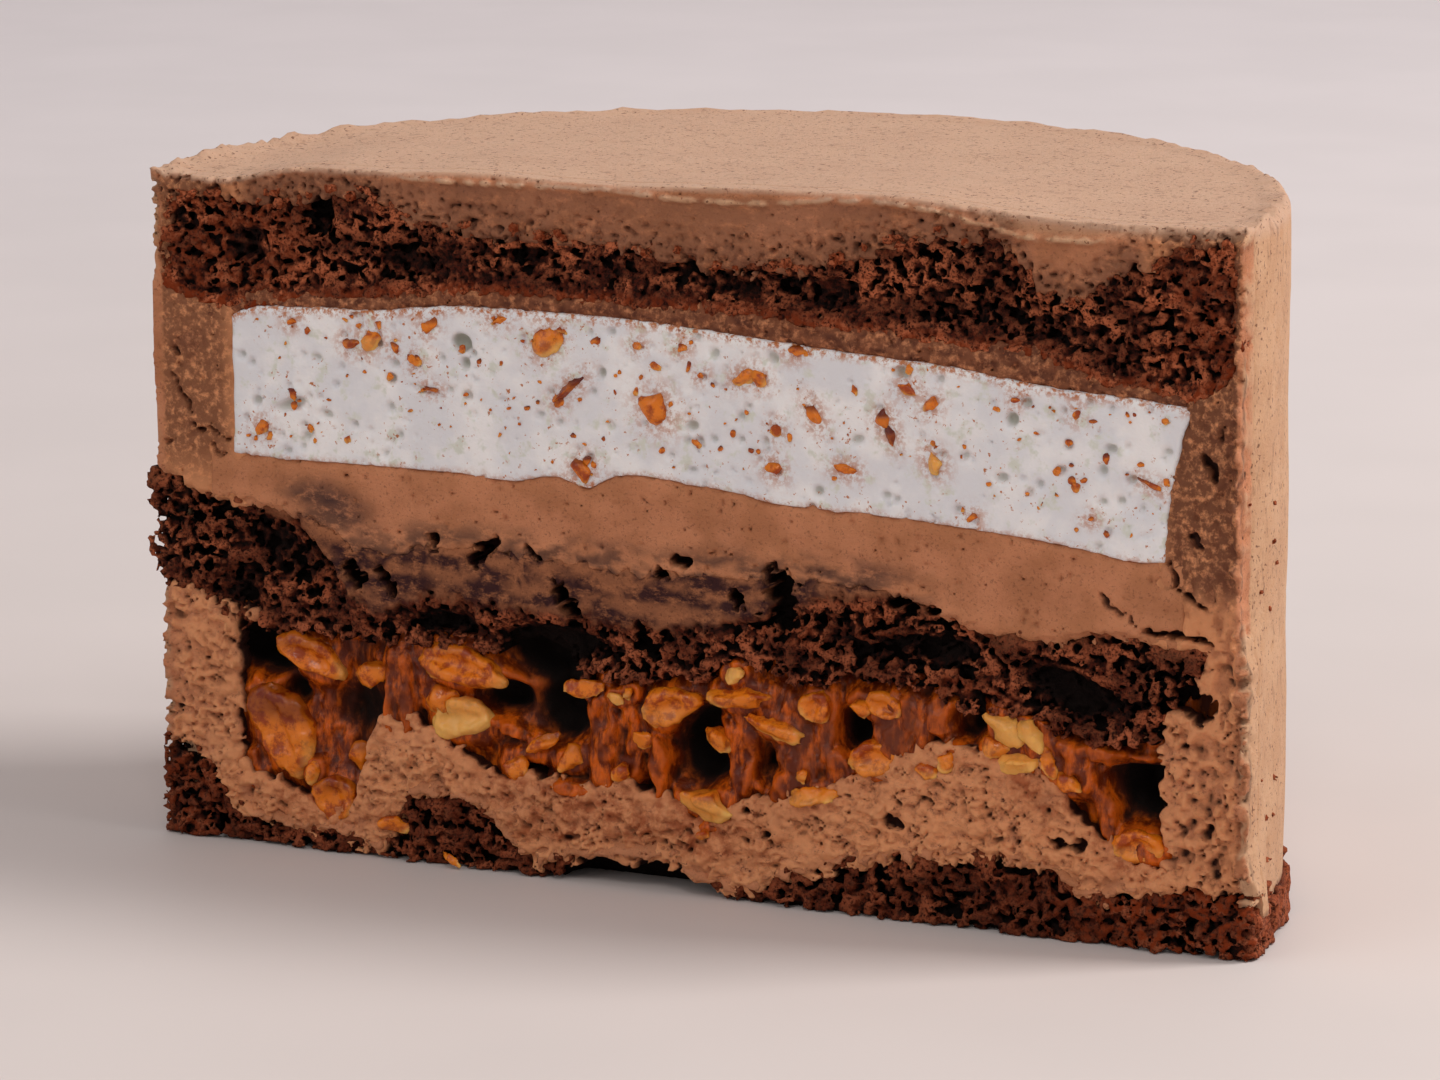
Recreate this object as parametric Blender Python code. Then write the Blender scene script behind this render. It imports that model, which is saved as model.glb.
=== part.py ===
"""Half of a tall layered chocolate cake, cut straight through its middle.

Run it with blender --background --python part.py, or from Blender's text editor.
Metres, +Z up. The cake stands on z = 0, its cut face looks along -Y and its round side along +Y.
The origin is the middle of the base of the box round the half cake.
"""

import math
from collections import namedtuple

import bmesh
import bpy
from mathutils import Matrix, Vector, noise

MM = 0.001

# Driving sizes, in millimetres
CAKE_RADIUS = 80.0
COAT_FOOT = 5.6
COAT_WALL = 2.0
FILLING_RADIUS = 70.0
SPONGE_RADIUS = CAKE_RADIUS - COAT_WALL
FLANGE_RADIUS = 81.4
FLANGE_HEIGHT = COAT_FOOT - 0.4
MIDDLE_SPONGE_RADIUS = 76.5
MIDDLE_SPONGE_SHIFT = -1.6
GAP = 0.36
CUT_Y = -CAKE_RADIUS / 2
RIM_LIP = 0.7

# How the solids are divided
COLUMN_STEP = 3.4
END_ANGLES = (0, 5, 10, 15, 20)
CUTTER_FRONT = 12.0
NUT_SUBDIVISIONS = 2

# Heights of the joints between the layers along the cut, as (x, z) turning points in millimetres
BASE_TO_BED = [(-80, 13.5), (-72, 9.5), (-64, 4.6), (-49, 3.4), (-42, 10.0), (-31, 9.8), (-25, 4.8),
               (-5, 5.0), (6, 3.4), (24, 7.7), (45, 10.2), (60, 6.6), (80, 8.4)]
BED_TO_FILLING = [(-70, 9.4), (-60, 7.0), (-52, 6.6), (-44, 17.2), (-37, 17.0), (-31, 13.0), (-6, 12.4),
                  (3, 10.4), (12, 13.2), (25, 17.6), (38, 23.2), (51, 21.2), (58, 10.6), (70, 10.4)]
FILLING_TO_SPONGE = [(-80, 36.5), (-66, 31.5), (-36, 30.6), (-22, 27.2), (3, 30.2), (15, 32.4), (27, 32.2),
                     (42, 30.2), (60, 27.4), (70, 30.0), (80, 37.5)]
SPONGE_TO_CREAM = [(-80, 52.0), (-72, 49.8), (-55, 47.6), (-42, 43.6), (0, 44.2), (30, 44.2), (44, 41.2),
                   (64, 41.8), (80, 41.0)]
CREAM_TO_NOUGAT = [(-70, 55.4), (-52, 55.0), (-26, 54.6), (4, 56.0), (40, 54.0), (70, 51.6)]
NOUGAT_TO_BAND = [(-70, 73.6), (-56, 76.0), (-22, 77.8), (4, 77.0), (24, 75.4), (70, 71.8)]
BAND_TO_SPONGE = [(-80, 75.4), (-64, 75.6), (-28, 79.6), (8, 79.4), (40, 77.4), (62, 73.8), (80, 73.4)]
SPONGE_TO_TOP = [(-80, 90.2), (-52, 91.8), (-20, 88.2), (3, 86.8), (20, 87.6), (41, 92.0), (54, 85.6),
                 (68, 91.2), (80, 92.4)]
TOP_FRONT = [(-80, 93.4), (-70, 93.0), (-50, 95.8), (24, 96.6), (54, 95.0), (80, 94.6)]
TOP_BACK = 94.8

Nut = namedtuple("Nut", "x z length width tilt")

# Peanut halves and caramel lumps that stand in the cut: place, size in millimetres, tilt in degrees
FILLING_NUTS = [
    Nut(-63.2, 17.0, 13.4, 7.8, -62),
    Nut(-58.5, 26.2, 9.6, 4.4, -25),
    Nut(-55.5, 10.8, 6.4, 4.8, 60),
    Nut(-34.6, 26.4, 13.6, 5.2, -12),
    Nut(-33.8, 20.8, 8.6, 4.6, 14),
    Nut(-24.6, 16.8, 6.6, 4.2, 35),
    Nut(-2.3, 24.8, 8.6, 5.4, 25),
    Nut(8.2, 27.0, 8.2, 3.8, -5),
    Nut(18.9, 25.8, 4.6, 4.2, 0),
    Nut(12.8, 21.6, 8.4, 3.4, -20),
    Nut(3.0, 14.0, 7.4, 3.8, -6),
    Nut(16.6, 17.0, 7.0, 3.0, 15),
    Nut(27.0, 21.2, 6.0, 4.0, -8),
    Nut(48.6, 25.4, 6.0, 4.0, 28),
    Nut(63.8, 14.6, 6.6, 4.8, 10),
]
NOUGAT_NUTS = [
    Nut(-3.0, 66.3, 6.0, 5.2, 62),
    Nut(-15.8, 68.0, 6.8, 3.6, 35),
    Nut(-19.2, 73.4, 5.2, 3.8, 40),
    Nut(-46.0, 72.0, 4.8, 3.0, 50),
    Nut(36.0, 61.8, 4.4, 2.8, -55),
]

Hollow = namedtuple("Hollow", "x z width height depth")

# Holes torn in the cut: centre, width, height and depth in millimetres
FILLING_HOLLOWS = [
    Hollow(-65.0, 27.4, 7, 5, 4.0),
    Hollow(-20.6, 21.0, 7, 10, 4.0),
    Hollow(2.6, 20.0, 4, 8, 4.5),
    Hollow(66.0, 20.0, 8, 5, 4.0),
]
BASE_HOLLOWS = [Hollow(-4.0, 0.0, 24, 9, 7.0)]
MIDDLE_HOLLOWS = [Hollow(-20.0, 31.0, 10, 7, 5.0), Hollow(10.5, 38.0, 5, 9, 4.0)]

# The lumps of crumb that the knife dragged out over the side: (x, depth, z, size) in millimetres
MIDDLE_CRUMBS = [(-79.6, 2.6, 46.0, 3.0), (-80.2, 2.4, 42.0, 3.0), (-80.4, 2.6, 38.8, 2.6)]
BASE_CRUMBS = [(-79.2, 2.6, 9.2, 3.2), (-79.4, 2.8, 6.4, 3.2), (80.8, 6.0, 3.6, 3.0), (80.6, 12.0, 3.4, 2.6)]

# (x, y, z) boxes cut from the coat where crumbs come through it, as low and high corners in millimetres
CRUMB_NOTCHES = [
    ((-95, CUT_Y - 12, 35.0), (-76.0, CUT_Y + 6.4, 50.6)),
    ((-95, CUT_Y - 12, -5.0), (-75.4, CUT_Y + 6.6, 13.4)),
    ((75.4, CUT_Y - 12, -5.0), (95, CUT_Y + 15.2, 7.4)),
]


def turning(points):
    """A height over x that eases from each turning point to the next."""
    def height(x):
        if x <= points[0][0]:
            return points[0][1]
        for (x0, z0), (x1, z1) in zip(points, points[1:]):
            if x <= x1:
                t = (x - x0) / (x1 - x0)
                return z0 + (z1 - z0) * t * t * (3 - 2 * t)
        return points[-1][1]
    return height


def raised(height, by):
    """The same height, moved up by so much."""
    return lambda x: height(x) + by


def dent(x, z, hollows):
    """How far torn holes push the cut face back at this place."""
    depth = 0.0
    for h in hollows:
        away = ((x - h.x) / (h.width / 2)) ** 2 + ((z - h.z) / (h.height / 2)) ** 2
        depth += h.depth * math.exp(-(away ** 2) / 2)
    return depth


def crumb_face(hollows=()):
    """The torn face of sponge: small crags, and holes where it pulled apart."""
    def recess(x, z):
        coarse = noise.noise(Vector((x / 5.2, 3.1, z / 4.6)))
        fine = noise.noise(Vector((x / 2.3, 7.7, z / 2.1)))
        return max(0.0, 0.9 + 1.3 * coarse + 1.1 * fine) + dent(x, z, hollows)
    return recess


def cream_face(x, z):
    """The knife-smooth face of cream, a little wavy."""
    return 0.25 + 0.25 * noise.noise(Vector((x / 11, 1.7, z / 6)))


def nougat_face(x, z):
    """The cut face of nougat, with shallow bubbles."""
    return 0.35 + 0.4 * noise.noise(Vector((x / 4.2, 5.3, z / 4.2)))


def filling_face(x, z):
    """The sticky, torn face of caramel between the nuts."""
    lumps = noise.noise(Vector((x / 4.4, 9.1, z / 5.2)))
    return max(0.6, 2.6 + 1.6 * lumps) + dent(x, z, FILLING_HOLLOWS)


def columns(radius, centre=0.0):
    """The x of each column of points, evenly spaced, and closer where the round side turns into the cut."""
    ends = [radius * math.cos(math.radians(a)) for a in END_ANGLES]
    reach = ends[-1] - COLUMN_STEP / 2
    middle = [i * COLUMN_STEP for i in range(-30, 31) if abs(i * COLUMN_STEP - centre) < reach]
    return [centre - e for e in ends] + middle + [centre + e for e in reversed(ends)]


def arc_depth(x, radius, centre=0.0):
    """How far behind the cut the round side lies at this x."""
    return math.sqrt(max(0.0, radius * radius - (x - centre) ** 2))


def finish_object(name, mesh_data, material):
    """Closes off a bmesh into a named object with its material."""
    bmesh.ops.remove_doubles(mesh_data, verts=mesh_data.verts, dist=1e-6)
    bmesh.ops.recalc_face_normals(mesh_data, faces=mesh_data.faces)
    mesh = bpy.data.meshes.new(name)
    mesh_data.to_mesh(mesh)
    mesh_data.free()
    obj = bpy.data.objects.new(name, mesh)
    bpy.context.scene.collection.objects.link(obj)
    if material is not None:
        mesh.materials.append(material)
    return obj


def millimetres(x, y, z):
    """A point in metres from millimetres."""
    return Vector((x * MM, y * MM, z * MM))


def slab(name, radius, bottom, top, levels, recess, material=None, centre=0.0, front=0.0):
    """A half disc between two heights. recess(x, z) is how far its cut face lies behind the cut plane,
    and front moves the whole face forward, for a cutter."""
    bm = bmesh.new()
    xs = columns(radius, centre)
    face = []
    for x in xs:
        low, high = bottom(x), top(x)
        heights = [low + (high - low) * k / levels for k in range(levels + 1)]
        face.append([bm.verts.new(millimetres(x, CUT_Y - front + recess(x, z), z)) for z in heights])
    back = [None] * len(xs)
    for i, x in enumerate(xs[1:-1], start=1):
        y = CUT_Y + arc_depth(x, radius, centre)
        back[i] = (bm.verts.new(millimetres(x, y, bottom(x))), bm.verts.new(millimetres(x, y, top(x))))
    for i in range(len(xs) - 1):
        for k in range(levels):
            bm.faces.new((face[i][k], face[i + 1][k], face[i + 1][k + 1], face[i][k + 1]))
    for i in range(1, len(xs) - 2):
        bm.faces.new((back[i][0], back[i][1], back[i + 1][1], back[i + 1][0]))
        bm.faces.new((face[i][0], back[i][0], back[i + 1][0], face[i + 1][0]))
        bm.faces.new((face[i][-1], face[i + 1][-1], back[i + 1][1], back[i][1]))
    for end, beside in ((0, 1), (len(xs) - 1, len(xs) - 2)):
        bm.faces.new([*face[end], back[beside][1], back[beside][0]])
        bm.faces.new((face[end][0], face[beside][0], back[beside][0]))
        bm.faces.new((face[end][-1], face[beside][-1], back[beside][1]))
    return finish_object(name, bm, material)


def top_height(x, y_behind):
    """The height of the iced top, which is bowed along the cut and levels out behind it."""
    share = min(1.0, y_behind / 45.0)
    ease = share * share * (3 - 2 * share)
    across = turning(TOP_FRONT)(x)
    edge = math.hypot(x, y_behind) / CAKE_RADIUS
    lip = RIM_LIP * max(0.0, 1 - (1 - edge) * CAKE_RADIUS / 3.0)
    wave = 0.25 * noise.noise(Vector((x / 17, y_behind / 13, 4.4)))
    return across + (TOP_BACK - across) * ease + lip + wave


def wall_bulge(angle, z):
    """How far the spread cream of the side stands out from a true cylinder."""
    return 0.35 * noise.noise(Vector((math.cos(angle) * 3.1, math.sin(angle) * 3.1, z / 16)))


def drum(name, material):
    """The whole outside of the coat as a solid half cylinder, from its foot to its top."""
    bm = bmesh.new()
    xs = columns(CAKE_RADIUS)
    levels, rows = 9, 8
    last = len(xs) - 1

    def wall_point(i, k, side):
        x = xs[i]
        depth = arc_depth(x, CAKE_RADIUS) if side == "back" else 0.0
        if i in (0, last):
            depth = 0.0
        top = top_height(x, depth)
        z = COAT_FOOT + (top - COAT_FOOT) * k / levels
        if side == "front" and i not in (0, last):
            return millimetres(x, CUT_Y + cream_face(x, z), z)
        angle = math.atan2(depth, x)
        reach = 1 + wall_bulge(angle, z) / CAKE_RADIUS
        return millimetres(x * reach, CUT_Y + depth * reach, z)

    front = [[bm.verts.new(wall_point(i, k, "front")) for k in range(levels + 1)] for i in range(last + 1)]
    back = [front[0]]
    back += [[bm.verts.new(wall_point(i, k, "back")) for k in range(levels + 1)] for i in range(1, last)]
    back.append(front[last])
    for i in range(last):
        for k in range(levels):
            bm.faces.new((front[i][k], front[i + 1][k], front[i + 1][k + 1], front[i][k + 1]))
            bm.faces.new((back[i][k], back[i][k + 1], back[i + 1][k + 1], back[i + 1][k]))

    lids = []
    for i in range(last + 1):
        if i in (0, last):
            lids.append([front[i][-1]] * (rows + 1))
            continue
        inner = []
        for j in range(1, rows):
            near, far = front[i][-1].co, back[i][-1].co
            spot = near.lerp(far, j / rows)
            behind = spot.y / MM - CUT_Y
            inner.append(bm.verts.new((spot.x, spot.y, top_height(spot.x / MM, behind) * MM)))
        lids.append([front[i][-1], *inner, back[i][-1]])
    for i in range(last):
        for j in range(rows):
            ring = [lids[i][j], lids[i + 1][j], lids[i + 1][j + 1], lids[i][j + 1]]
            corners = list(dict.fromkeys(ring))
            if len(corners) > 2:
                bm.faces.new(corners)
        foot = [front[i][0], back[i][0], back[i + 1][0], front[i + 1][0]]
        bm.faces.new(list(dict.fromkeys(foot)))
    return finish_object(name, bm, material)


def lump(name, centre, size, turn=Matrix.Identity(4), subdivisions=1, roughness=0.0):
    """A closed rounded lump: a stretched icosphere whose points wander a little."""
    bm = bmesh.new()
    bmesh.ops.create_icosphere(bm, subdivisions=subdivisions, radius=0.5)
    for vert in bm.verts:
        wander = 1 + roughness * noise.noise(vert.co * 3 + centre * 700)
        vert.co = Vector((vert.co.x * size.x, vert.co.y * size.y, vert.co.z * size.z)) * wander
        vert.co = turn @ vert.co + centre
    return finish_object(name, bm, None)


def nut_pieces(nuts, depth, thickness):
    """Half kernels standing in the cut face, with their round backs sunk in the food."""
    pieces = []
    for n, nut in enumerate(nuts):
        centre = millimetres(nut.x, CUT_Y + depth, nut.z)
        size = Vector((nut.length, min(thickness, nut.width * 1.1), nut.width)) * MM
        turn = Matrix.Rotation(-math.radians(nut.tilt), 4, "Y")
        pieces.append(lump(f"nut_{n}", centre, size, turn, NUT_SUBDIVISIONS, 0.12))
    return pieces


def crumb_pieces(crumbs):
    """Lumps of crumb dragged out over the side."""
    return [
        lump(f"crumb_{n}", millimetres(x, CUT_Y + depth, z), Vector((2.3, 2.3, 2.3)) * size * MM / 1.15,
             roughness=0.3)
        for n, (x, depth, z, size) in enumerate(crumbs)
    ]


def block(name, low, high):
    """A plain box, for cutting."""
    bm = bmesh.new()
    bmesh.ops.create_cube(bm, size=1.0)
    low, high = millimetres(*low), millimetres(*high)
    for vert in bm.verts:
        vert.co = Vector(low[i] if vert.co[i] < 0 else high[i] for i in range(3))
    return finish_object(name, bm, None)


def combine(obj, pieces, operation):
    """Joins the pieces to the object, or cuts them from it, and removes them."""
    helpers = bpy.data.collections.new(f"{obj.name}_{operation.lower()}")
    bpy.context.scene.collection.children.link(helpers)
    for piece in pieces:
        bpy.context.scene.collection.objects.unlink(piece)
        helpers.objects.link(piece)
    modifier = obj.modifiers.new(operation.title(), "BOOLEAN")
    modifier.operation = operation
    modifier.operand_type = "COLLECTION"
    modifier.collection = helpers
    modifier.solver = "EXACT"
    bpy.context.view_layer.update()
    graph = bpy.context.evaluated_depsgraph_get()
    result = bpy.data.meshes.new_from_object(obj.evaluated_get(graph))
    old_mesh, material = obj.data, obj.data.materials[0]
    obj.modifiers.remove(modifier)
    obj.data = result
    result.name = obj.name
    result.materials.clear()
    result.materials.append(material)
    bpy.data.meshes.remove(old_mesh)
    for piece in pieces:
        bpy.data.objects.remove(piece)
    bpy.data.collections.remove(helpers)
    return obj


def food_material(name, colour, roughness):
    """A plain material for one kind of food."""
    material = bpy.data.materials.new(name)
    material.use_nodes = True
    shader = material.node_tree.nodes["Principled BSDF"]
    shader.inputs["Base Color"].default_value = (*colour, 1.0)
    shader.inputs["Roughness"].default_value = roughness
    shader.inputs["Metallic"].default_value = 0.0
    return material


def sponge_base(material):
    """The lowest sponge, with a foot that shows under the coat all round."""
    bottom, top = turning([(0, 0.0)]), raised(turning(BASE_TO_BED), -GAP / 2)
    face = crumb_face(BASE_HOLLOWS)
    body = slab("sponge_bottom", SPONGE_RADIUS - GAP, bottom, top, 4, face, material)
    flange_top = turning([(0, FLANGE_HEIGHT)])
    ring = slab("flange", FLANGE_RADIUS, bottom, flange_top, 3, face)
    above = slab("above", CAKE_RADIUS + 20, raised(turning(BASE_TO_BED), -GAP / 2), turning([(0, 30.0)]), 1,
                 lambda x, z: 0.0, front=CUTTER_FRONT)
    ring.data.materials.append(material)
    combine(ring, [above], "DIFFERENCE")
    return combine(body, [ring, *crumb_pieces(BASE_CRUMBS)], "UNION")


def filling_layers(cream, nougat, caramel):
    """The layers that the ring of cream holds, from the lowest up."""
    slab("cream_bed", FILLING_RADIUS, raised(turning(BASE_TO_BED), GAP / 2),
         raised(turning(BED_TO_FILLING), -GAP / 2), 3, cream_face, cream)
    filling = slab("caramel_nuts", FILLING_RADIUS, raised(turning(BED_TO_FILLING), GAP / 2),
                   raised(turning(FILLING_TO_SPONGE), -GAP / 2), 7, filling_face, caramel)
    combine(filling, nut_pieces(FILLING_NUTS, 2.2, 6.0), "UNION")
    slab("cream_middle", FILLING_RADIUS, raised(turning(SPONGE_TO_CREAM), GAP / 2),
         raised(turning(CREAM_TO_NOUGAT), -GAP / 2), 3, cream_face, cream)
    body = slab("nougat", FILLING_RADIUS, raised(turning(CREAM_TO_NOUGAT), GAP / 2),
                raised(turning(NOUGAT_TO_BAND), -GAP / 2), 6, nougat_face, nougat)
    combine(body, nut_pieces(NOUGAT_NUTS, 0.9, 3.4), "UNION")
    slab("cream_band", FILLING_RADIUS, raised(turning(NOUGAT_TO_BAND), GAP / 2),
         raised(turning(BAND_TO_SPONGE), -GAP / 2), 1, cream_face, cream)


def upper_sponges(material):
    """The middle sponge, which sits a little to the left, and the top one."""
    middle = slab("sponge_middle", MIDDLE_SPONGE_RADIUS, raised(turning(FILLING_TO_SPONGE), GAP / 2),
                  raised(turning(SPONGE_TO_CREAM), -GAP / 2), 6, crumb_face(MIDDLE_HOLLOWS), material,
                  MIDDLE_SPONGE_SHIFT)
    combine(middle, crumb_pieces(MIDDLE_CRUMBS), "UNION")
    slab("sponge_top", SPONGE_RADIUS - GAP, raised(turning(BAND_TO_SPONGE), GAP / 2),
         raised(turning(SPONGE_TO_TOP), -GAP / 2), 6, crumb_face(), material)


def coat(material):
    """The cream all round: the top, the side, and the rings that hold the filling and the nougat."""
    def hole(name, radius, low, high, centre=0.0):
        return slab(name, radius, low, high, 1, lambda x, z: 0.0, centre=centre, front=CUTTER_FRONT)

    base_top = raised(turning(BASE_TO_BED), GAP / 2)
    filling_top = raised(turning(FILLING_TO_SPONGE), GAP / 2)
    cream_bottom = raised(turning(SPONGE_TO_CREAM), -GAP / 2)
    band_top = raised(turning(BAND_TO_SPONGE), GAP / 2)
    holes = [
        hole("base_hole", SPONGE_RADIUS, turning([(0, -5.0)]), base_top),
        hole("filling_hole", FILLING_RADIUS + GAP, turning([(0, -5.0)]), filling_top),
        hole("middle_hole", MIDDLE_SPONGE_RADIUS + GAP, raised(filling_top, -GAP), raised(cream_bottom, GAP),
             MIDDLE_SPONGE_SHIFT),
        hole("nougat_hole", FILLING_RADIUS + GAP, cream_bottom, band_top),
        hole("top_hole", SPONGE_RADIUS, raised(band_top, -GAP), raised(turning(SPONGE_TO_TOP), GAP / 2)),
    ]
    holes += [block(f"notch_{n}", low, high) for n, (low, high) in enumerate(CRUMB_NOTCHES)]
    return combine(drum("coat", material), holes, "DIFFERENCE")


def main():
    """Clears the scene and builds the cake."""
    for obj in list(bpy.data.objects):
        bpy.data.objects.remove(obj)
    sponge = food_material("chocolate_sponge", (0.035, 0.012, 0.007), 0.9)
    cream = food_material("chocolate_cream", (0.36, 0.17, 0.10), 0.6)
    white = food_material("white_nougat", (0.78, 0.74, 0.70), 0.6)
    caramel = food_material("caramel_with_nuts", (0.40, 0.12, 0.02), 0.25)
    sponge_base(sponge)
    filling_layers(cream, white, caramel)
    upper_sponges(sponge)
    coat(cream)
    for obj in bpy.context.scene.objects:
        obj.data.shade_smooth()
        obj.data.set_sharp_from_angle(angle=math.radians(40))


main()
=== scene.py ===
"""Looks of half a layered chocolate cake: sponge crumb, cream, white nougat and caramel with peanuts.

Each layer is carved out of a lattice of points, fine near the cut and coarse behind it, so that the
crumb, bubbles, torn cream and nuts are real shapes. Sizes are in millimetres in "cut coordinates":
x runs along the cut, y into the cake from the cut face, and z up from the table.
"""

from __future__ import annotations

import logging
import math
from abc import ABC, abstractmethod
from dataclasses import dataclass, field
from enum import Enum
from typing import Callable, ClassVar, Sequence

import bpy
import numpy as np
from mathutils import Matrix, Vector


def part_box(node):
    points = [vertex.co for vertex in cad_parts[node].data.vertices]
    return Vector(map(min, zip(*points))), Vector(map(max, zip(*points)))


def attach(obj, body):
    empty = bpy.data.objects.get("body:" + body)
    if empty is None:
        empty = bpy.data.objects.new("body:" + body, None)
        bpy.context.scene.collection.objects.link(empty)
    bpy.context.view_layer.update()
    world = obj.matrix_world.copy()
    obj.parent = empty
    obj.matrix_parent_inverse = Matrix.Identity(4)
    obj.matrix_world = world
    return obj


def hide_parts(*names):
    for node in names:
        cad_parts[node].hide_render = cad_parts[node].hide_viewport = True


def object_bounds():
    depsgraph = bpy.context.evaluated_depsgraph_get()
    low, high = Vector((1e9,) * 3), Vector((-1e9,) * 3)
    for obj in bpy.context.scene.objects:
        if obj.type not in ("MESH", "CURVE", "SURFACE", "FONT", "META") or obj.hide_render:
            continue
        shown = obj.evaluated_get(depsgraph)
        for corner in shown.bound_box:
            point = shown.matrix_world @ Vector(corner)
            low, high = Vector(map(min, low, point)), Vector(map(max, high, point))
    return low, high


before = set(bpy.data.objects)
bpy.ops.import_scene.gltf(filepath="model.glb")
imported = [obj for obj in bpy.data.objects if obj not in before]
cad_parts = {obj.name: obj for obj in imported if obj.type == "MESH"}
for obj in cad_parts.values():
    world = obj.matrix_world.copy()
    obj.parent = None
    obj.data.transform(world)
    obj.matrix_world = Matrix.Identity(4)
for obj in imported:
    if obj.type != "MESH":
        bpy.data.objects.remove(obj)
cad_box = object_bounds()

LOG = logging.getLogger("cake")
COARSER = 1.0
MM = 0.001

# Where the frame's coat begins, and how far any piece may reach
CUT_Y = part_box("coat")[0].y / MM
COAT_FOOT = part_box("coat")[0].z / MM
FRONT_LIMIT = cad_box[0][1] / MM - CUT_Y + 0.05
BACK_LIMIT = 81.3
TOP_LIMIT = 96.6

# The cake's round side, its level top, and the most that a hidden layer may reach
CAKE_RADIUS = 80.0
TOP_LEVEL = 94.8
HIDDEN_RADIUS = 77.0

# A field's value in empty space, and a distance beyond all others
OUTSIDE = 1.0
FAR = 99.0

Array = np.ndarray
Pair = tuple[float, float]
Colour = tuple[float, float, float]
Material = bpy.types.Material
Piece = bpy.types.Object
Socket = bpy.types.NodeSocket


class Slot(Enum):
    """The record's material slots."""

    CREAM = "chocolate_cream"
    SPONGE = "chocolate_sponge"
    NOUGAT = "white_nougat"
    CARAMEL = "caramel_with_nuts"


class NutKind(Enum):
    """How a piece of peanut lies in the cut."""

    HALF = "half"
    CHIP = "chip"


def ease(value: Array | float, low: float, high: float) -> Array:
    """A soft step from 0 at low to 1 at high.

    Args:
        value: What is measured.
        low: Where the step starts.
        high: Where it ends; below low, the step falls.

    Returns:
        The step, of the same shape as value.
    """
    share = np.clip((value - low) / (high - low), 0.0, 1.0)
    return share * share * (3 - 2 * share)


def soft_min(a: Array, b: Array, width: float) -> Array:
    """The lesser of two fields, melted together over a width."""
    share = np.clip(0.5 + 0.5 * (b - a) / width, 0.0, 1.0)
    return b * (1 - share) + a * share - width * share * (1 - share)


def soft_max(a: Array, b: Array, width: float) -> Array:
    """The greater of two fields, melted together over a width."""
    return -soft_min(-a, -b, width)


def blank(x: Array, z: Array, value: float = 0.0) -> Array:
    """A field of one value over places along the cut and heights."""
    return np.full(np.broadcast_shapes(np.shape(x), np.shape(z)), value, np.float32)


def turned(dx: Array, dz: Array, tilt: float) -> tuple[Array, Array]:
    """Steps across and up, as steps along and across a line tilted up by some degrees."""
    turn = math.radians(tilt)
    return dx * math.cos(turn) + dz * math.sin(turn), dz * math.cos(turn) - dx * math.sin(turn)


def mound(x: Array, z: Array, centre: Pair, size: Pair, tilt: float = 0.0) -> Array:
    """A round bump, 1 in its middle and near 0 outside an ellipse.

    Args:
        x: Places along the cut.
        z: Heights.
        centre: The middle of the bump.
        size: Its whole width and height.
        tilt: How far its long side turns up, in degrees.

    Returns:
        The bump at each place.
    """
    along, across = turned(x - centre[0], z - centre[1], tilt)
    along, across = along / (size[0] / 2), across / (size[1] / 2)
    return np.exp(-((along**2 + across**2) ** 1.6) * 0.7)


class Curve:
    """A height over x, drawn smoothly through its turning points."""

    def __init__(self, points: Sequence[Pair]) -> None:
        """Keeps the points and the slope at each."""
        self.x = np.array([p[0] for p in points], np.float32)
        self.z = np.array([p[1] for p in points], np.float32)
        slopes = np.gradient(self.z, self.x)
        rises = np.diff(self.z)
        flat = np.zeros(len(points), bool)
        flat[1:-1] = rises[:-1] * rises[1:] <= 0
        self.slope = np.where(flat, 0.0, slopes).astype(np.float32)

    def __call__(self, x: Array) -> Array:
        """The height at each x."""
        x = np.clip(x, self.x[0], self.x[-1])
        i = np.clip(np.searchsorted(self.x, x, side="right") - 1, 0, len(self.x) - 2)
        span = self.x[i + 1] - self.x[i]
        t = (x - self.x[i]) / span
        low, high = self.z[i], self.z[i + 1]
        start, end = self.slope[i] * span, self.slope[i + 1] * span
        return (
            low * (2 * t**3 - 3 * t**2 + 1)
            + start * (t**3 - 2 * t**2 + t)
            + high * (3 * t**2 - 2 * t**3)
            + end * (t**3 - t**2)
        )


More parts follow.
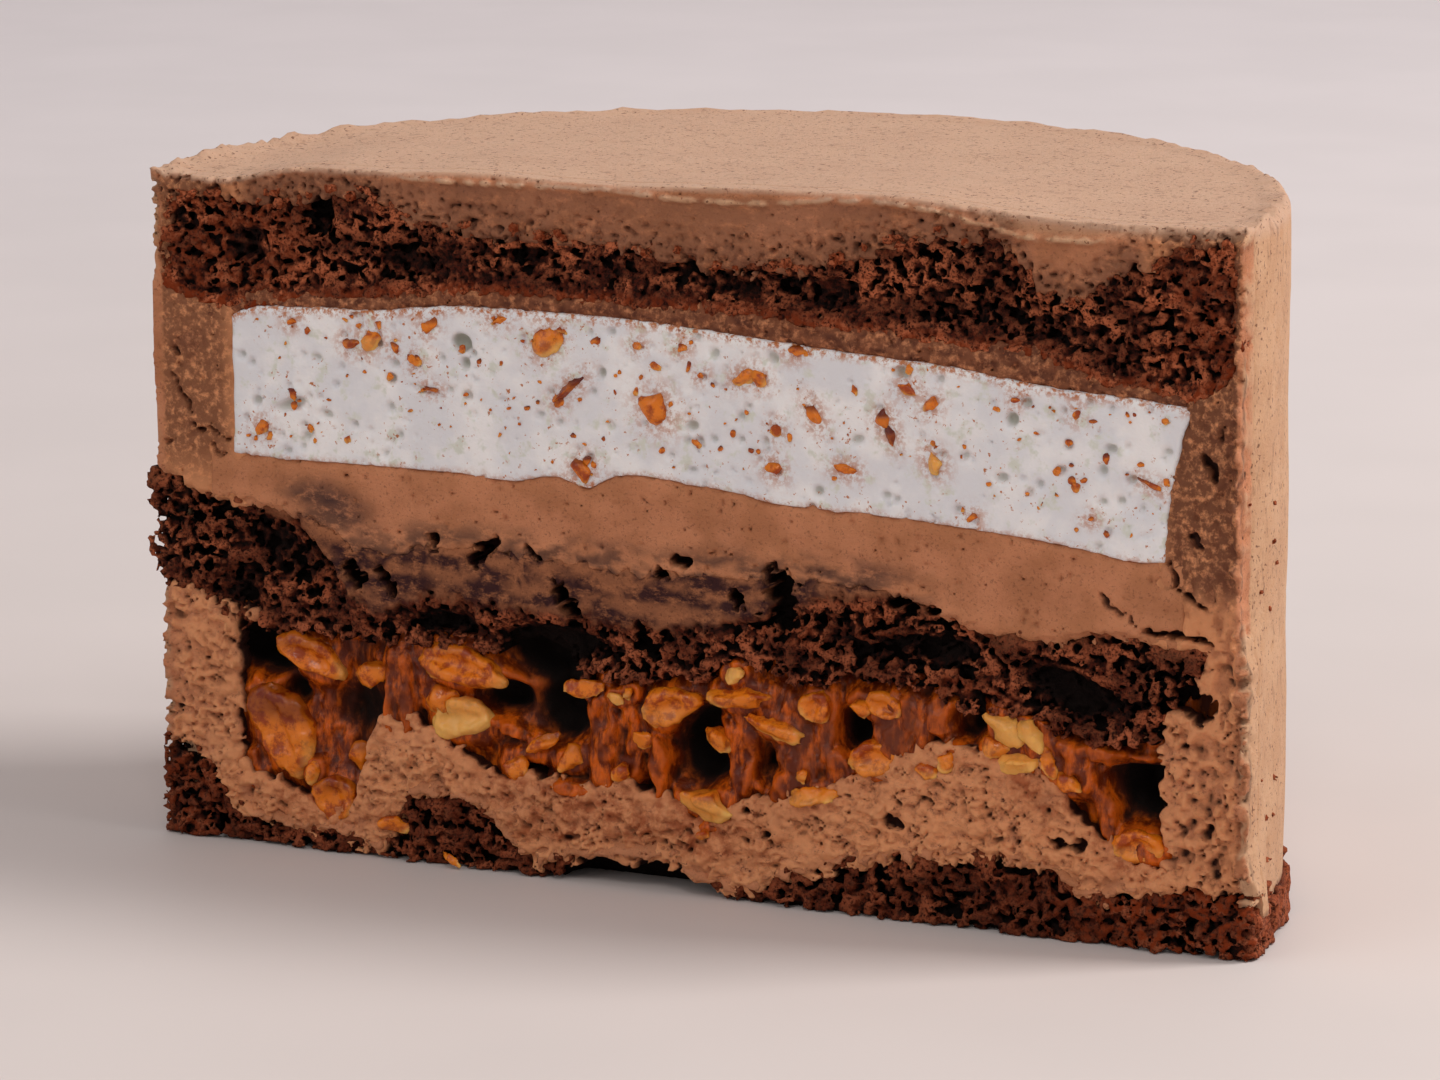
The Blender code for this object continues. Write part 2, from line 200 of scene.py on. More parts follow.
class Noise:
    """Seeded smooth noise and cell noise over points."""

    TABLE: ClassVar[int] = 256

    def __init__(self, seed: int) -> None:
        """Draws the tables that the noise is made from."""
        draw = np.random.default_rng(seed)
        self.order = draw.permutation(self.TABLE).astype(np.int32)
        way = draw.normal(size=(3, self.TABLE))
        self.way = (way / np.linalg.norm(way, axis=0)).astype(np.float32)
        self.spot = draw.random((4, self.TABLE)).astype(np.float32)

    def _pick(self, i: Array, j: Array, k: Array) -> Array:
        """A table place for each lattice point."""
        last = self.TABLE - 1
        return self.order[(self.order[(self.order[i & last] + j) & last] + k) & last]

    @staticmethod
    def _split(value: Array) -> tuple[Array, Array]:
        """The whole part and the rest of each value."""
        value = np.asarray(value, np.float32)
        whole = np.floor(value)
        return whole.astype(np.int32), value - whole

    def smooth(self, x: Array, y: Array, z: Array) -> Array:
        """Smooth noise from about -0.7 to 0.7, with bumps about 1 wide.

        Args:
            x: First coordinate, over the bumps' size.
            y: Second coordinate.
            z: Third coordinate.

        Returns:
            The noise, in the shape that the coordinates make together.
        """
        (i, u), (j, v), (k, w) = self._split(x), self._split(y), self._split(z)
        fu, fv, fw = (t * t * t * (t * (t * 6 - 15) + 10) for t in (u, v, w))
        total: Array | float = 0.0
        for a in (0, 1):
            for b in (0, 1):
                for c in (0, 1):
                    at = self._pick(i + a, j + b, k + c)
                    dot = self.way[0][at] * (u - a) + self.way[1][at] * (v - b) + self.way[2][at] * (w - c)
                    share = (fu if a else 1 - fu) * (fv if b else 1 - fv) * (fw if c else 1 - fw)
                    total = total + share * dot
        return total

    def rough(self, x: Array, y: Array, z: Array, octaves: int = 3, gain: float = 0.5) -> Array:
        """Smooth noise with finer and finer noise on it.

        Args:
            x: First coordinate, over the largest bumps' size.
            y: Second coordinate.
            z: Third coordinate.
            octaves: How many sizes of bump there are.
            gain: How high each size is, as a share of the size before it.

        Returns:
            The noise, in the shape that the coordinates make together.
        """
        total: Array | float = 0.0
        size, height = 1.0, 1.0
        for octave in range(octaves):
            shift = 17.3 * octave
            total = total + height * self.smooth(x * size + shift, y * size + shift, z * size + shift)
            size, height = size * 2.03, height * gain
        return total

    def cells(self, x: Array, y: Array, z: Array) -> tuple[Array, Array]:
        """Cell noise, one random point to each unit cube.

        Args:
            x: First coordinate, over the cells' size.
            y: Second coordinate.
            z: Third coordinate.

        Returns:
            The distance to the nearest point, and that point's own random number from 0 to 1.
        """
        (i, u), (j, v), (k, w) = self._split(x), self._split(y), self._split(z)
        shape = np.broadcast_shapes(np.shape(u), np.shape(v), np.shape(w))
        best = np.full(shape, FAR, np.float32)
        own = np.zeros(shape, np.float32)
        for a in (-1, 0, 1):
            for b in (-1, 0, 1):
                for c in (-1, 0, 1):
                    at = self._pick(i + a, j + b, k + c)
                    far = (self.spot[0][at] + (a - u)) ** 2
                    far += (self.spot[1][at] + (b - v)) ** 2
                    far += (self.spot[2][at] + (c - w)) ** 2
                    nearer = far < best
                    best = np.where(nearer, far, best)
                    own = np.where(nearer, self.spot[3][at], own)
        return np.sqrt(best), own


def surface_nets(values: Array, axes: tuple[Array, Array, Array]) -> tuple[Array, Array]:
    """The surface where a field on a lattice passes zero.

    Args:
        values: The field at each lattice point, below zero inside the food.
        axes: The lattice's coordinates along its three directions.

    Returns:
        The surface's points, and its four-sided faces as rows of point numbers.
    """
    inside = values < 0
    count = np.zeros([n - 1 for n in values.shape], np.uint8)
    for a in (0, 1):
        for b in (0, 1):
            for c in (0, 1):
                nx, ny, nz = count.shape
                count += inside[a : a + nx, b : b + ny, c : c + nz]
    active = (count > 0) & (count < 8)
    cell = np.array(np.nonzero(active))
    total = np.zeros((3, cell.shape[1]), np.float32)
    hits = np.zeros(cell.shape[1], np.float32)
    for axis in range(3):
        others = [n for n in range(3) if n != axis]
        for du in (0, 1):
            for dv in (0, 1):
                start = cell.copy()
                start[others[0]] += du
                start[others[1]] += dv
                end = start.copy()
                end[axis] += 1
                low, high = values[tuple(start)], values[tuple(end)]
                cross = (low < 0) != (high < 0)
                share = np.where(cross, low / np.where(cross, low - high, 1.0), 0.0)
                total[axis] += share
                total[others[0]] += np.where(cross, du, 0)
                total[others[1]] += np.where(cross, dv, 0)
                hits += cross
    local = total / hits
    points = np.empty((cell.shape[1], 3), np.float32)
    for axis in range(3):
        line = axes[axis]
        near = line[cell[axis]]
        points[:, axis] = near + local[axis] * (line[cell[axis] + 1] - near)

    number = np.full(active.shape, -1, np.int32)
    number[active] = np.arange(cell.shape[1])
    faces = []
    for axis in range(3):
        first, second = (axis + 1) % 3, (axis + 2) % 3
        low = inside.take(range(inside.shape[axis] - 1), axis)
        high = inside.take(range(1, inside.shape[axis]), axis)
        change = low != high
        for side in (first, second):
            edge = [slice(None)] * 3
            edge[side] = slice(0, 1)
            change[tuple(edge)] = False
            edge[side] = slice(-1, None)
            change[tuple(edge)] = False
        at = np.array(np.nonzero(change))
        ring = []
        for da, db in ((-1, -1), (0, -1), (0, 0), (-1, 0)):
            around = at.copy()
            around[first] += da
            around[second] += db
            ring.append(number[tuple(around)])
        quads = np.stack(ring, 1)
        outward = low[tuple(at)]
        quads[~outward] = quads[~outward][:, ::-1]
        faces.append(quads)
    return points, np.concatenate(faces)


def open_loops(faces: Array) -> list[list[int]]:
    """The rings of edges that only one face has, each as a face that closes it.

    Args:
        faces: Rows of point numbers.

    Returns:
        A list of point numbers for each ring.
    """
    starts = faces.ravel()
    ends = np.roll(faces, -1, axis=1).ravel()
    wide = int(faces.max()) + 1
    forward = starts.astype(np.int64) * wide + ends
    backward = ends.astype(np.int64) * wide + starts
    single = ~np.isin(forward, backward)
    onward: dict[int, list[int]] = {}
    for a, b in zip(ends[single].tolist(), starts[single].tolist()):
        onward.setdefault(a, []).append(b)
    loops = []
    while onward:
        start = next(iter(onward))
        loop = [start]
        here = start
        while True:
            choices = onward.get(here)
            if not choices:
                break
            step = choices.pop()
            if not choices:
                del onward[here]
            if step == start:
                break
            loop.append(step)
            here = step
        if len(loop) > 2:
            loops.append(loop)
    return loops


def grow(mask: Array, allowed: Array) -> Array:
    """Spreads a mask through the allowed lattice points until it stops.

    Args:
        mask: Where it starts.
        allowed: Where it may go.

    Returns:
        Every lattice point that it reaches.
    """
    reached = mask & allowed
    size = -1
    while size != (size := int(reached.sum())):
        for _ in range(4):
            wider = reached.copy()
            for axis in range(3):
                ahead = [slice(None)] * 3
                behind = [slice(None)] * 3
                ahead[axis], behind[axis] = slice(1, None), slice(None, -1)
                wider[tuple(ahead)] |= reached[tuple(behind)]
                wider[tuple(behind)] |= reached[tuple(ahead)]
            reached = wider & allowed
    return reached


def one_body(values: Array, spacing: float) -> Array:
    """Fills sealed holes in a field and drops what hangs loose, starting from its back and its front.

    Args:
        values: The field, with food in its back layer and air in its front layer.
        spacing: The lattice's spacing, which sizes the values that are put in.

    Returns:
        The field of one closed body.
    """
    solid = values < 0
    seed = np.zeros_like(solid)
    seed[:, -1, :] = True
    held = grow(seed, solid)
    values = np.where(solid & ~held, 0.3 * spacing, values)
    solid = held
    seed = np.zeros_like(solid)
    seed[:, 0, :] = True
    open_air = grow(seed, ~solid)
    return np.where(~solid & ~open_air, -0.3 * spacing, values)


def bounded(values: Array) -> Array:
    """The same field, with empty space all round its lattice but for the back."""
    values = np.array(values, np.float32)
    for side in (values[0], values[-1], values[:, 0], values[:, :, 0], values[:, :, -1]):
        side[...] = OUTSIDE
    return values


def walled(values: Array) -> Array:
    """The same field, with empty space all round its lattice."""
    values = bounded(values)
    values[:, -1] = OUTSIDE
    return values


Marks = Callable[[Array], dict[str, Array]]


def stand_out(points: Array, reach: float, cell: float = 0.3, deepest: float = 9.0) -> Array:
    """How far each point stands out of the cut face round it.

    Args:
        points: Rows of x, y and z in cut coordinates.
        reach: How far round it the face is averaged.
        cell: Size of the cells in which the face's depth is gathered.
        deepest: How deep a place still counts as part of the face.

    Returns:
        Millimetres before the mean face, below zero in hollows.
    """
    x, y, z = points.T
    i, k = ((x - x.min()) / cell).astype(int), ((z - z.min()) / cell).astype(int)
    front = np.full((i.max() + 1, k.max() + 1), FAR, np.float32)
    np.minimum.at(front, (i, k), y.astype(np.float32))
    known = front < deepest
    sums = [np.where(known, front, 0.0), known.astype(np.float32)]
    width = 2 * round(reach / cell) + 1
    box = np.ones(width) / width
    for number, grid in enumerate(sums):
        for axis in (0, 1, 0, 1):
            padded = np.apply_along_axis(np.convolve, axis, np.pad(grid, width), box, "same")
            grid = padded[width:-width, width:-width]
        sums[number] = grid
    mean = sums[0] / np.maximum(sums[1], 1e-5)
    return mean[i, k] - y


def thinned(mesh: bpy.types.Mesh, budget: int) -> bpy.types.Mesh:
    """The mesh with its flatter parts made of fewer triangles, so that it keeps to a budget.

    Args:
        mesh: The mesh as carved.
        budget: The most triangles it may have.

    Returns:
        A mesh of at most that many triangles.
    """
    now = sum(len(polygon.vertices) - 2 for polygon in mesh.polygons)
    if now <= budget:
        return mesh
    helper = bpy.data.objects.new("thinning", mesh)
    bpy.context.scene.collection.objects.link(helper)
    change = helper.modifiers.new("thin", "DECIMATE")
    change.ratio = budget / now
    graph = bpy.context.evaluated_depsgraph_get()
    result = bpy.data.meshes.new_from_object(helper.evaluated_get(graph))
    bpy.data.objects.remove(helper)
    bpy.data.meshes.remove(mesh)
    return result


def mesh_object(
    name: str,
    points: Array,
    faces: Array,
    loops: Sequence[Sequence[int]] = (),
    marks: Marks | dict[str, Array] | None = None,
    budget: int | None = None,
) -> Piece:
    """Makes a mesh object from arrays.

    Args:
        name: The piece's name.
        points: Rows of x, y and z in cut coordinates.
        faces: Rows of three or four point numbers.
        loops: Further faces with any number of points.
        marks: Numbers for each point, by name, for the material to read, or what works them out.
        budget: The most triangles that the piece may have.

    Returns:
        The linked object.
    """
    world = np.array(points, np.float32)
    world[:, 1] = np.clip(world[:, 1], FRONT_LIMIT, BACK_LIMIT) + CUT_Y
    world *= MM
    mesh = bpy.data.meshes.new(name)
    mesh.vertices.add(len(world))
    mesh.vertices.foreach_set("co", world.ravel())
    corner = np.concatenate([faces.ravel(), *[np.array(loop, np.int64) for loop in loops]])
    sizes = np.concatenate([np.full(len(faces), faces.shape[1]), [len(loop) for loop in loops]])
    sizes = sizes.astype(np.int32)
    mesh.loops.add(len(corner))
    mesh.loops.foreach_set("vertex_index", corner.astype(np.int32))
    mesh.polygons.add(len(sizes))
    mesh.polygons.foreach_set("loop_start", np.concatenate([[0], np.cumsum(sizes)[:-1]]).astype(np.int32))
    mesh.update(calc_edges=True)
    mesh.shade_smooth()
    for polygon in mesh.polygons[len(faces) :]:
        polygon.use_smooth = False
    if budget:
        mesh = thinned(mesh, budget)
        world = np.empty(len(mesh.vertices) * 3, np.float32)
        mesh.vertices.foreach_get("co", world)
        points = world.reshape(-1, 3) / MM
        points[:, 1] -= CUT_Y
    if callable(marks):
        marks = marks(points)
    for label, values in (marks or {}).items():
        layer = mesh.attributes.new(label, "FLOAT", "POINT")
        layer.data.foreach_set("value", np.asarray(values, np.float32))
    mesh.name = name
    piece = bpy.data.objects.new(name, mesh)
    bpy.context.scene.collection.objects.link(piece)
    return piece


def settle(piece: Piece, slot: Slot, material: Material, *nodes: str) -> Piece:
    """Gives a piece its finish, its body and the CAD nodes that it stands for.

    Args:
        piece: The piece.
        slot: The record's material slot; not used.
        material: Its finish.
        nodes: The CAD nodes that it replaces.

    Returns:
        The same piece.
    """
    piece.data.materials.clear()
    piece.data.materials.append(material)
    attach(piece, "root")
    if nodes:
        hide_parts(*nodes)
    triangles = sum(len(polygon.vertices) - 2 for polygon in piece.data.polygons)
    LOG.info("%s: %d triangles", piece.name, triangles)
    return piece


class Recipe:
    """Builds one material from nodes.

    The mix node has sockets of the same names for numbers and colours, so colours go by number.
    """

    FIRST_COLOUR: ClassVar[int] = 6
    MIXED_COLOUR: ClassVar[int] = 2

    def __init__(self, name: str) -> None:
        """Starts a material with an empty recipe and the piece's own coordinates."""
        self.material = bpy.data.materials.new(name)
        self.material.use_nodes = True
        self.tree = self.material.node_tree
        self.shader = self.tree.nodes["Principled BSDF"]
        self.place = self.tree.nodes.new("ShaderNodeTexCoord").outputs["Object"]

    def link(self, source: Socket, target: Socket) -> None:
        """Joins two sockets."""
        self.tree.links.new(source, target)

    def mark(self, name: str) -> Socket:
        """A number that the mesh holds for each point."""
        node = self.tree.nodes.new("ShaderNodeAttribute")
        node.attribute_name = name
        return node.outputs["Fac"]

    def stretched(self, x: float, y: float, z: float) -> Socket:
        """The piece's coordinates, with bumps made longer along some axes."""
        node = self.tree.nodes.new("ShaderNodeMapping")
        node.inputs["Scale"].default_value = (x, y, z)
        self.link(self.place, node.inputs["Vector"])
        return node.outputs["Vector"]

    def noise(
        self, size: float, detail: float = 3.0, roughness: float = 0.55, place: Socket | None = None
    ) -> Socket:
        """Smooth noise with bumps of a size in millimetres.

        Args:
            size: Size of the largest bumps.
            detail: How many finer sizes there are.
            roughness: How strong the finer ones are.
            place: Coordinates, when they are stretched.

        Returns:
            Values about 0.5.
        """
        node = self.tree.nodes.new("ShaderNodeTexNoise")
        node.inputs["Scale"].default_value = 1 / (size * MM)
        node.inputs["Detail"].default_value = detail
        node.inputs["Roughness"].default_value = roughness
        self.link(place or self.place, node.inputs["Vector"])
        return node.outputs["Fac"]

    def range(
        self, value: Socket, low: float, high: float, to_low: float = 0.0, to_high: float = 1.0
    ) -> Socket:
        """Maps a value from one range to another, smoothly and held at its ends.

        Args:
            value: What is mapped.
            low: Where the step starts; above high, it falls.
            high: Where the step ends.
            to_low: The result at low.
            to_high: The result at high.

        Returns:
            The mapped value.
        """
        node = self.tree.nodes.new("ShaderNodeMapRange")
        node.interpolation_type = "SMOOTHSTEP"
        node.inputs["From Min"].default_value = low
        node.inputs["From Max"].default_value = high
        node.inputs["To Min"].default_value = to_low
        node.inputs["To Max"].default_value = to_high
        self.link(value, node.inputs["Value"])
        return node.outputs["Result"]

    def times(self, a: Socket, b: Socket | float) -> Socket:
        """Two values, or a value and a number, multiplied."""
        node = self.tree.nodes.new("ShaderNodeMath")
        node.operation = "MULTIPLY"
        self.link(a, node.inputs[0])
        if isinstance(b, (int, float)):
            node.inputs[1].default_value = b
        else:
            self.link(b, node.inputs[1])
        return node.outputs["Value"]

    def mix(self, share: Socket, a: Socket | Colour, b: Socket | Colour) -> Socket:
        """A blend of two colours.

        Args:
            share: How much of the second there is.
            a: The first colour.
            b: The second colour.

        Returns:
            The blended colour.
        """
        node = self.tree.nodes.new("ShaderNodeMix")
        node.data_type = "RGBA"
        self.link(share, node.inputs["Factor"])
        for value, number in ((a, self.FIRST_COLOUR), (b, self.FIRST_COLOUR + 1)):
            if isinstance(value, Socket):
                self.link(value, node.inputs[number])
            else:
                node.inputs[number].default_value = (*value, 1.0)
        return node.outputs[self.MIXED_COLOUR]

    def bump(self, height: Socket, distance: float) -> None:
        """Fine relief, with heights of a distance in millimetres."""
        node = self.tree.nodes.new("ShaderNodeBump")
        node.inputs["Strength"].default_value = 1.0
        node.inputs["Distance"].default_value = distance * MM
        self.link(height, node.inputs["Height"])
        self.link(node.outputs["Normal"], self.shader.inputs["Normal"])

    def constants(self, **values: float | tuple[float, ...]) -> None:
        """Sets numbers on the shader's own sockets, by their names with _ for a space."""
        for name, value in values.items():
            self.shader.inputs[name.replace("_", " ")].default_value = value

    def soft_light(self, share: float, reach: float, colours: Colour) -> None:
        """Lets light into the food, to a reach in millimetres and further for some colours."""
        self.constants(Subsurface_Weight=share, Subsurface_Scale=reach * MM, Subsurface_Radius=colours)


def tone(red: int, green: int, blue: int) -> Colour:
    """A colour as the eye sees it, from 0 to 255, turned into light values.

    Args:
        red: Red as seen.
        green: Green as seen.
        blue: Blue as seen.

    Returns:
        The three light values from 0 to 1.
    """
    def linear(part: int) -> float:
        """One channel as light."""
        share = part / 255
        return share / 12.92 if share <= 0.04045 else ((share + 0.055) / 1.055) ** 2.4

    return (linear(red), linear(green), linear(blue))


@dataclass(frozen=True)
class SpongeFinish:
    """Dark chocolate crumb, with a lighter, redder painted highlight on its crests, painted shade in its
    holes and deeper places, and cream smeared over it in places.
    """

    # deep: painted shade, the near-black of holes and of places deeper behind the cut.
    deep: Colour = tone(16, 6, 4)
    shade: Colour = tone(30, 10, 6)
    crumb: Colour = tone(76, 27, 14)
    # crest: painted highlight on crumb that stands out of the cut.
    crest: Colour = tone(190, 104, 68)
    rust: Colour = tone(124, 48, 18)
    haze: Colour = tone(60, 33, 33)
    cream: Colour = tone(168, 106, 72)

    def material(self) -> Material:
        """Makes the material."""
        make = Recipe("sponge crumb")
        grain = make.noise(0.5, 3.0, 0.75)
        body = make.mix(make.range(grain, 0.4, 0.6), self.shade, self.crumb)
        # Painted highlight: crumb that stands out gets the lighter, redder tone.
        lift = make.times(make.mark("crest"), make.range(make.noise(0.45, 3.0, 0.7), 0.36, 0.56))
        body = make.mix(lift, body, self.crest)
        # The rusty tone is the crumb's own, by region, but its mark lays it mainly on raised crumb, so it
        # is partly a painted highlight.
        rusty = make.times(make.mark("rust"), make.range(make.noise(1.1, 3.0), 0.42, 0.6))
        body = make.mix(rusty, body, self.rust)
        streak = make.noise(1.8, 6.0, 0.75, make.stretched(0.6, 1.0, 1.1))
        mist = make.times(make.mark("haze"), make.range(streak, 0.68, 0.46))
        cover = make.mix(mist, self.cream, self.haze)
        fleck = make.range(make.noise(0.5, 3.0, 0.7), 0.54, 0.66)
        cover = make.mix(make.times(fleck, 0.4), cover, self.shade)
        body = make.mix(make.mark("smear"), body, cover)
        # Painted shade: holes and deeper places are darkened to near black.
        body = make.mix(make.mark("deep"), body, self.deep)
        make.link(body, make.shader.inputs["Base Color"])
        make.bump(make.noise(0.42, 3.0, 0.75), 0.3)
        make.constants(Roughness=0.75, Specular_IOR_Level=0.1)
        return make.material


@dataclass(frozen=True)
class CreamFinish:
    """Chocolate cream: pale where it was spread outside, with a painted sheen on the top; darker, pitted
    and streaked where it was cut, with painted highlights on what stands out and painted shade in hollows.
    """

    light: Colour = tone(202, 132, 94)
    main: Colour = tone(178, 113, 76)
    dark: Colour = tone(92, 46, 28)
    smear: Colour = tone(66, 38, 36)
    stain: Colour = tone(150, 62, 20)
    spread: Colour = tone(208, 161, 125)
    spread_dark: Colour = tone(198, 149, 113)
    # crown: painted sheen, a paler, whiter tone on the iced top.
    crown: Colour = tone(206, 168, 146)
    pore: Colour = tone(104, 58, 36)
    # bright: the tone of the painted highlight on cut cream that stands out; torn cream also takes it in
    # flakes.
    bright: Colour = tone(230, 155, 106)
    # black: painted shade in hollows, cracks and deeper places of the cut.
    black: Colour = tone(46, 18, 10)

    def material(self) -> Material:
        """Makes the material."""
        make = Recipe("chocolate cream")
        cloud = make.noise(6.0, 4.0, 0.6)
        cut = make.mix(make.range(cloud, 0.34, 0.66), self.main, self.light)
        grit = make.range(make.noise(0.42, 3.0, 0.7), 0.54, 0.7)
        cut = make.mix(make.times(grit, 0.55), cut, self.dark)
        streak = make.noise(1.8, 6.0, 0.75, make.stretched(0.6, 1.0, 1.1))
        cut = make.mix(make.times(make.mark("smear"), make.range(streak, 0.7, 0.47)), cut, self.smear)
        sweep = make.range(make.noise(9.0, 5.0, 0.65), 0.36, 0.62)
        outside = make.mix(sweep, self.spread_dark, self.spread)
        # Painted sheen: the top of the icing is made paler than the side.
        outside = make.mix(make.times(make.mark("crown"), 0.55), outside, self.crown)
        drag = make.range(make.noise(1.6, 5.0, 0.7, make.stretched(1.0, 1.0, 0.4)), 0.54, 0.7)
        outside = make.mix(make.times(drag, 0.4), outside, self.pore)
        pores = make.range(make.noise(0.62, 2.0, 0.5), 0.63, 0.67)
        outside = make.mix(make.times(pores, 0.8), outside, self.pore)
        # Painted highlight on cut cream that stands out.
        cut = make.mix(make.times(make.mark("crest"), 0.8), cut, self.bright)
        flake = make.noise(1.5, 6.0, 0.75, make.stretched(0.8, 1.0, 1.2))
        cut = make.mix(make.times(make.mark("torn"), make.range(flake, 0.64, 0.44)), cut, self.bright)
        cut = make.mix(make.times(make.mark("torn"), make.range(flake, 0.6, 0.68)), cut, self.dark)
        seep = make.range(make.noise(2.4, 5.0, 0.7), 0.38, 0.6, 0.2, 0.85)
        cut = make.mix(make.times(make.mark("stain"), seep), cut, self.stain)
        shade = make.range(make.noise(1.2, 4.0, 0.7), 0.3, 0.55)
        # The dusk mark darkens the cut cream: painted shade on the upper parts of the two end rings, and a
        # darker tone over the whole band between nougat and top sponge.
        cut = make.mix(make.times(make.mark("dusk"), shade), cut, self.dark)
        body = make.mix(make.mark("spread"), cut, outside)
        # Painted shade: hollows, cracks and deeper places are darkened.
        body = make.mix(make.mark("deep"), body, self.black)
        make.link(body, make.shader.inputs["Base Color"])
        make.bump(make.noise(0.6, 5.0, 0.75), 0.34)
        make.constants(Roughness=0.55, Specular_IOR_Level=0.22)
        make.soft_light(0.12, 1.0, (1.0, 0.5, 0.3))
        return make.material


@dataclass(frozen=True)
class NougatFinish:
    """White foam with painted shade, grey-green, in its bubbles, and rusty round the bits of nut."""

    white: Colour = tone(240, 234, 232)
    grey: Colour = tone(224, 220, 222)
    # hollow: painted shade, the grey-green inside the bubbles.
    hollow: Colour = tone(176, 174, 162)
    blotch: Colour = tone(214, 212, 200)
    rust: Colour = tone(182, 104, 48)

    def material(self) -> Material:
        """Makes the material."""
        make = Recipe("white nougat")
        body = make.mix(make.range(make.noise(6.0, 4.0), 0.36, 0.64), self.grey, self.white)
        body = make.mix(make.range(make.noise(2.6, 3.0, 0.6), 0.56, 0.7), body, self.blotch)
        # Painted shade: the bubbles, deeper behind the cut, are grey-green.
        body = make.mix(make.mark("deep"), body, self.hollow)
        stain = make.times(make.mark("stain"), make.range(make.noise(0.8, 4.0, 0.7), 0.42, 0.62))
        body = make.mix(stain, body, self.rust)
        near = make.range(make.noise(5.5, 2.0), 0.46, 0.6)
        dots = make.range(make.noise(0.75, 3.0, 0.65), 0.605, 0.68)
        body = make.mix(make.times(dots, near), body, self.rust)
        make.link(body, make.shader.inputs["Base Color"])
        make.bump(make.noise(0.7, 4.0, 0.6), 0.1)
        make.constants(Roughness=0.5, Specular_IOR_Level=0.4)
        make.soft_light(0.35, 2.0, (1.0, 0.85, 0.75))
        return make.material


@dataclass(frozen=True)
class CaramelFinish:
    """Sticky caramel, amber where thin and dark brown where thick, with an amber painted highlight on what
    stands out and painted shade, nearly black, in its caves.
    """

    amber: Colour = tone(214, 98, 18)
    brown: Colour = tone(98, 34, 8)
    # black: painted shade in caves, hollows and deeper places.
    black: Colour = tone(16, 5, 2)
    haze: Colour = tone(112, 52, 26)

    def material(self) -> Material:
        """Makes the material."""
        make = Recipe("caramel")
        flow = make.noise(2.2, 5.0, 0.65, make.stretched(1.3, 1.0, 0.45))
        body = make.mix(make.range(flow, 0.44, 0.66), self.brown, self.amber)
        # Painted highlight: caramel that stands out is made amber.
        body = make.mix(make.times(make.mark("crest"), 0.7), body, self.amber)
        body = make.mix(make.mark("haze"), body, self.haze)
        # Painted shade: caves, hollows and deeper places go nearly black.
        body = make.mix(make.mark("deep"), body, self.black)
        make.link(body, make.shader.inputs["Base Color"])
        make.bump(make.noise(0.6, 4.0, 0.6), 0.12)
        make.link(make.range(make.mark("deep"), 0.0, 0.8, 0.26, 0.9), make.shader.inputs["Roughness"])
        make.constants(Specular_IOR_Level=0.22)
        make.soft_light(0.25, 2.0, (1.0, 0.4, 0.12))
        return make.material


@dataclass(frozen=True)
class NutFinish:
    """Roasted peanut under caramel, from pale yellow to deep amber and dark skin, with a painted highlight
    on the lower rims and painted shade on the tops.
    """

    pale: Colour = tone(238, 178, 92)
    gold: Colour = tone(226, 122, 24)
    amber: Colour = tone(160, 64, 12)
    skin: Colour = tone(96, 26, 6)

    def material(self) -> Material:
        """Makes the material."""
        make = Recipe("caramelised peanut")
        patch = make.noise(2.0, 5.0, 0.65)
        body = make.mix(make.range(patch, 0.38, 0.56), self.amber, self.gold)
        # The pale mark is each nut's own paleness plus painted light: a painted highlight on the lower rim
        # and painted shade on the top.
        body = make.mix(make.range(make.mark("pale"), 0.0, 1.0), body, self.pale)
        body = make.mix(make.range(make.mark("pale"), -0.1, -0.9), body, self.skin)
        make.link(body, make.shader.inputs["Base Color"])
        make.bump(make.noise(0.9, 4.0, 0.6), 0.14)
        make.constants(Roughness=0.26, Specular_IOR_Level=0.25, Coat_Weight=0.2, Coat_Roughness=0.1)
        make.soft_light(0.25, 2.0, (1.0, 0.5, 0.15))
        return make.material


@dataclass
class Finishes:
    """One material of each kind, shared by the pieces."""

    sponge: Material = field(default_factory=lambda: SpongeFinish().material())
    cream: Material = field(default_factory=lambda: CreamFinish().material())
    nougat: Material = field(default_factory=lambda: NougatFinish().material())
    caramel: Material = field(default_factory=lambda: CaramelFinish().material())
    nut: Material = field(default_factory=lambda: NutFinish().material())


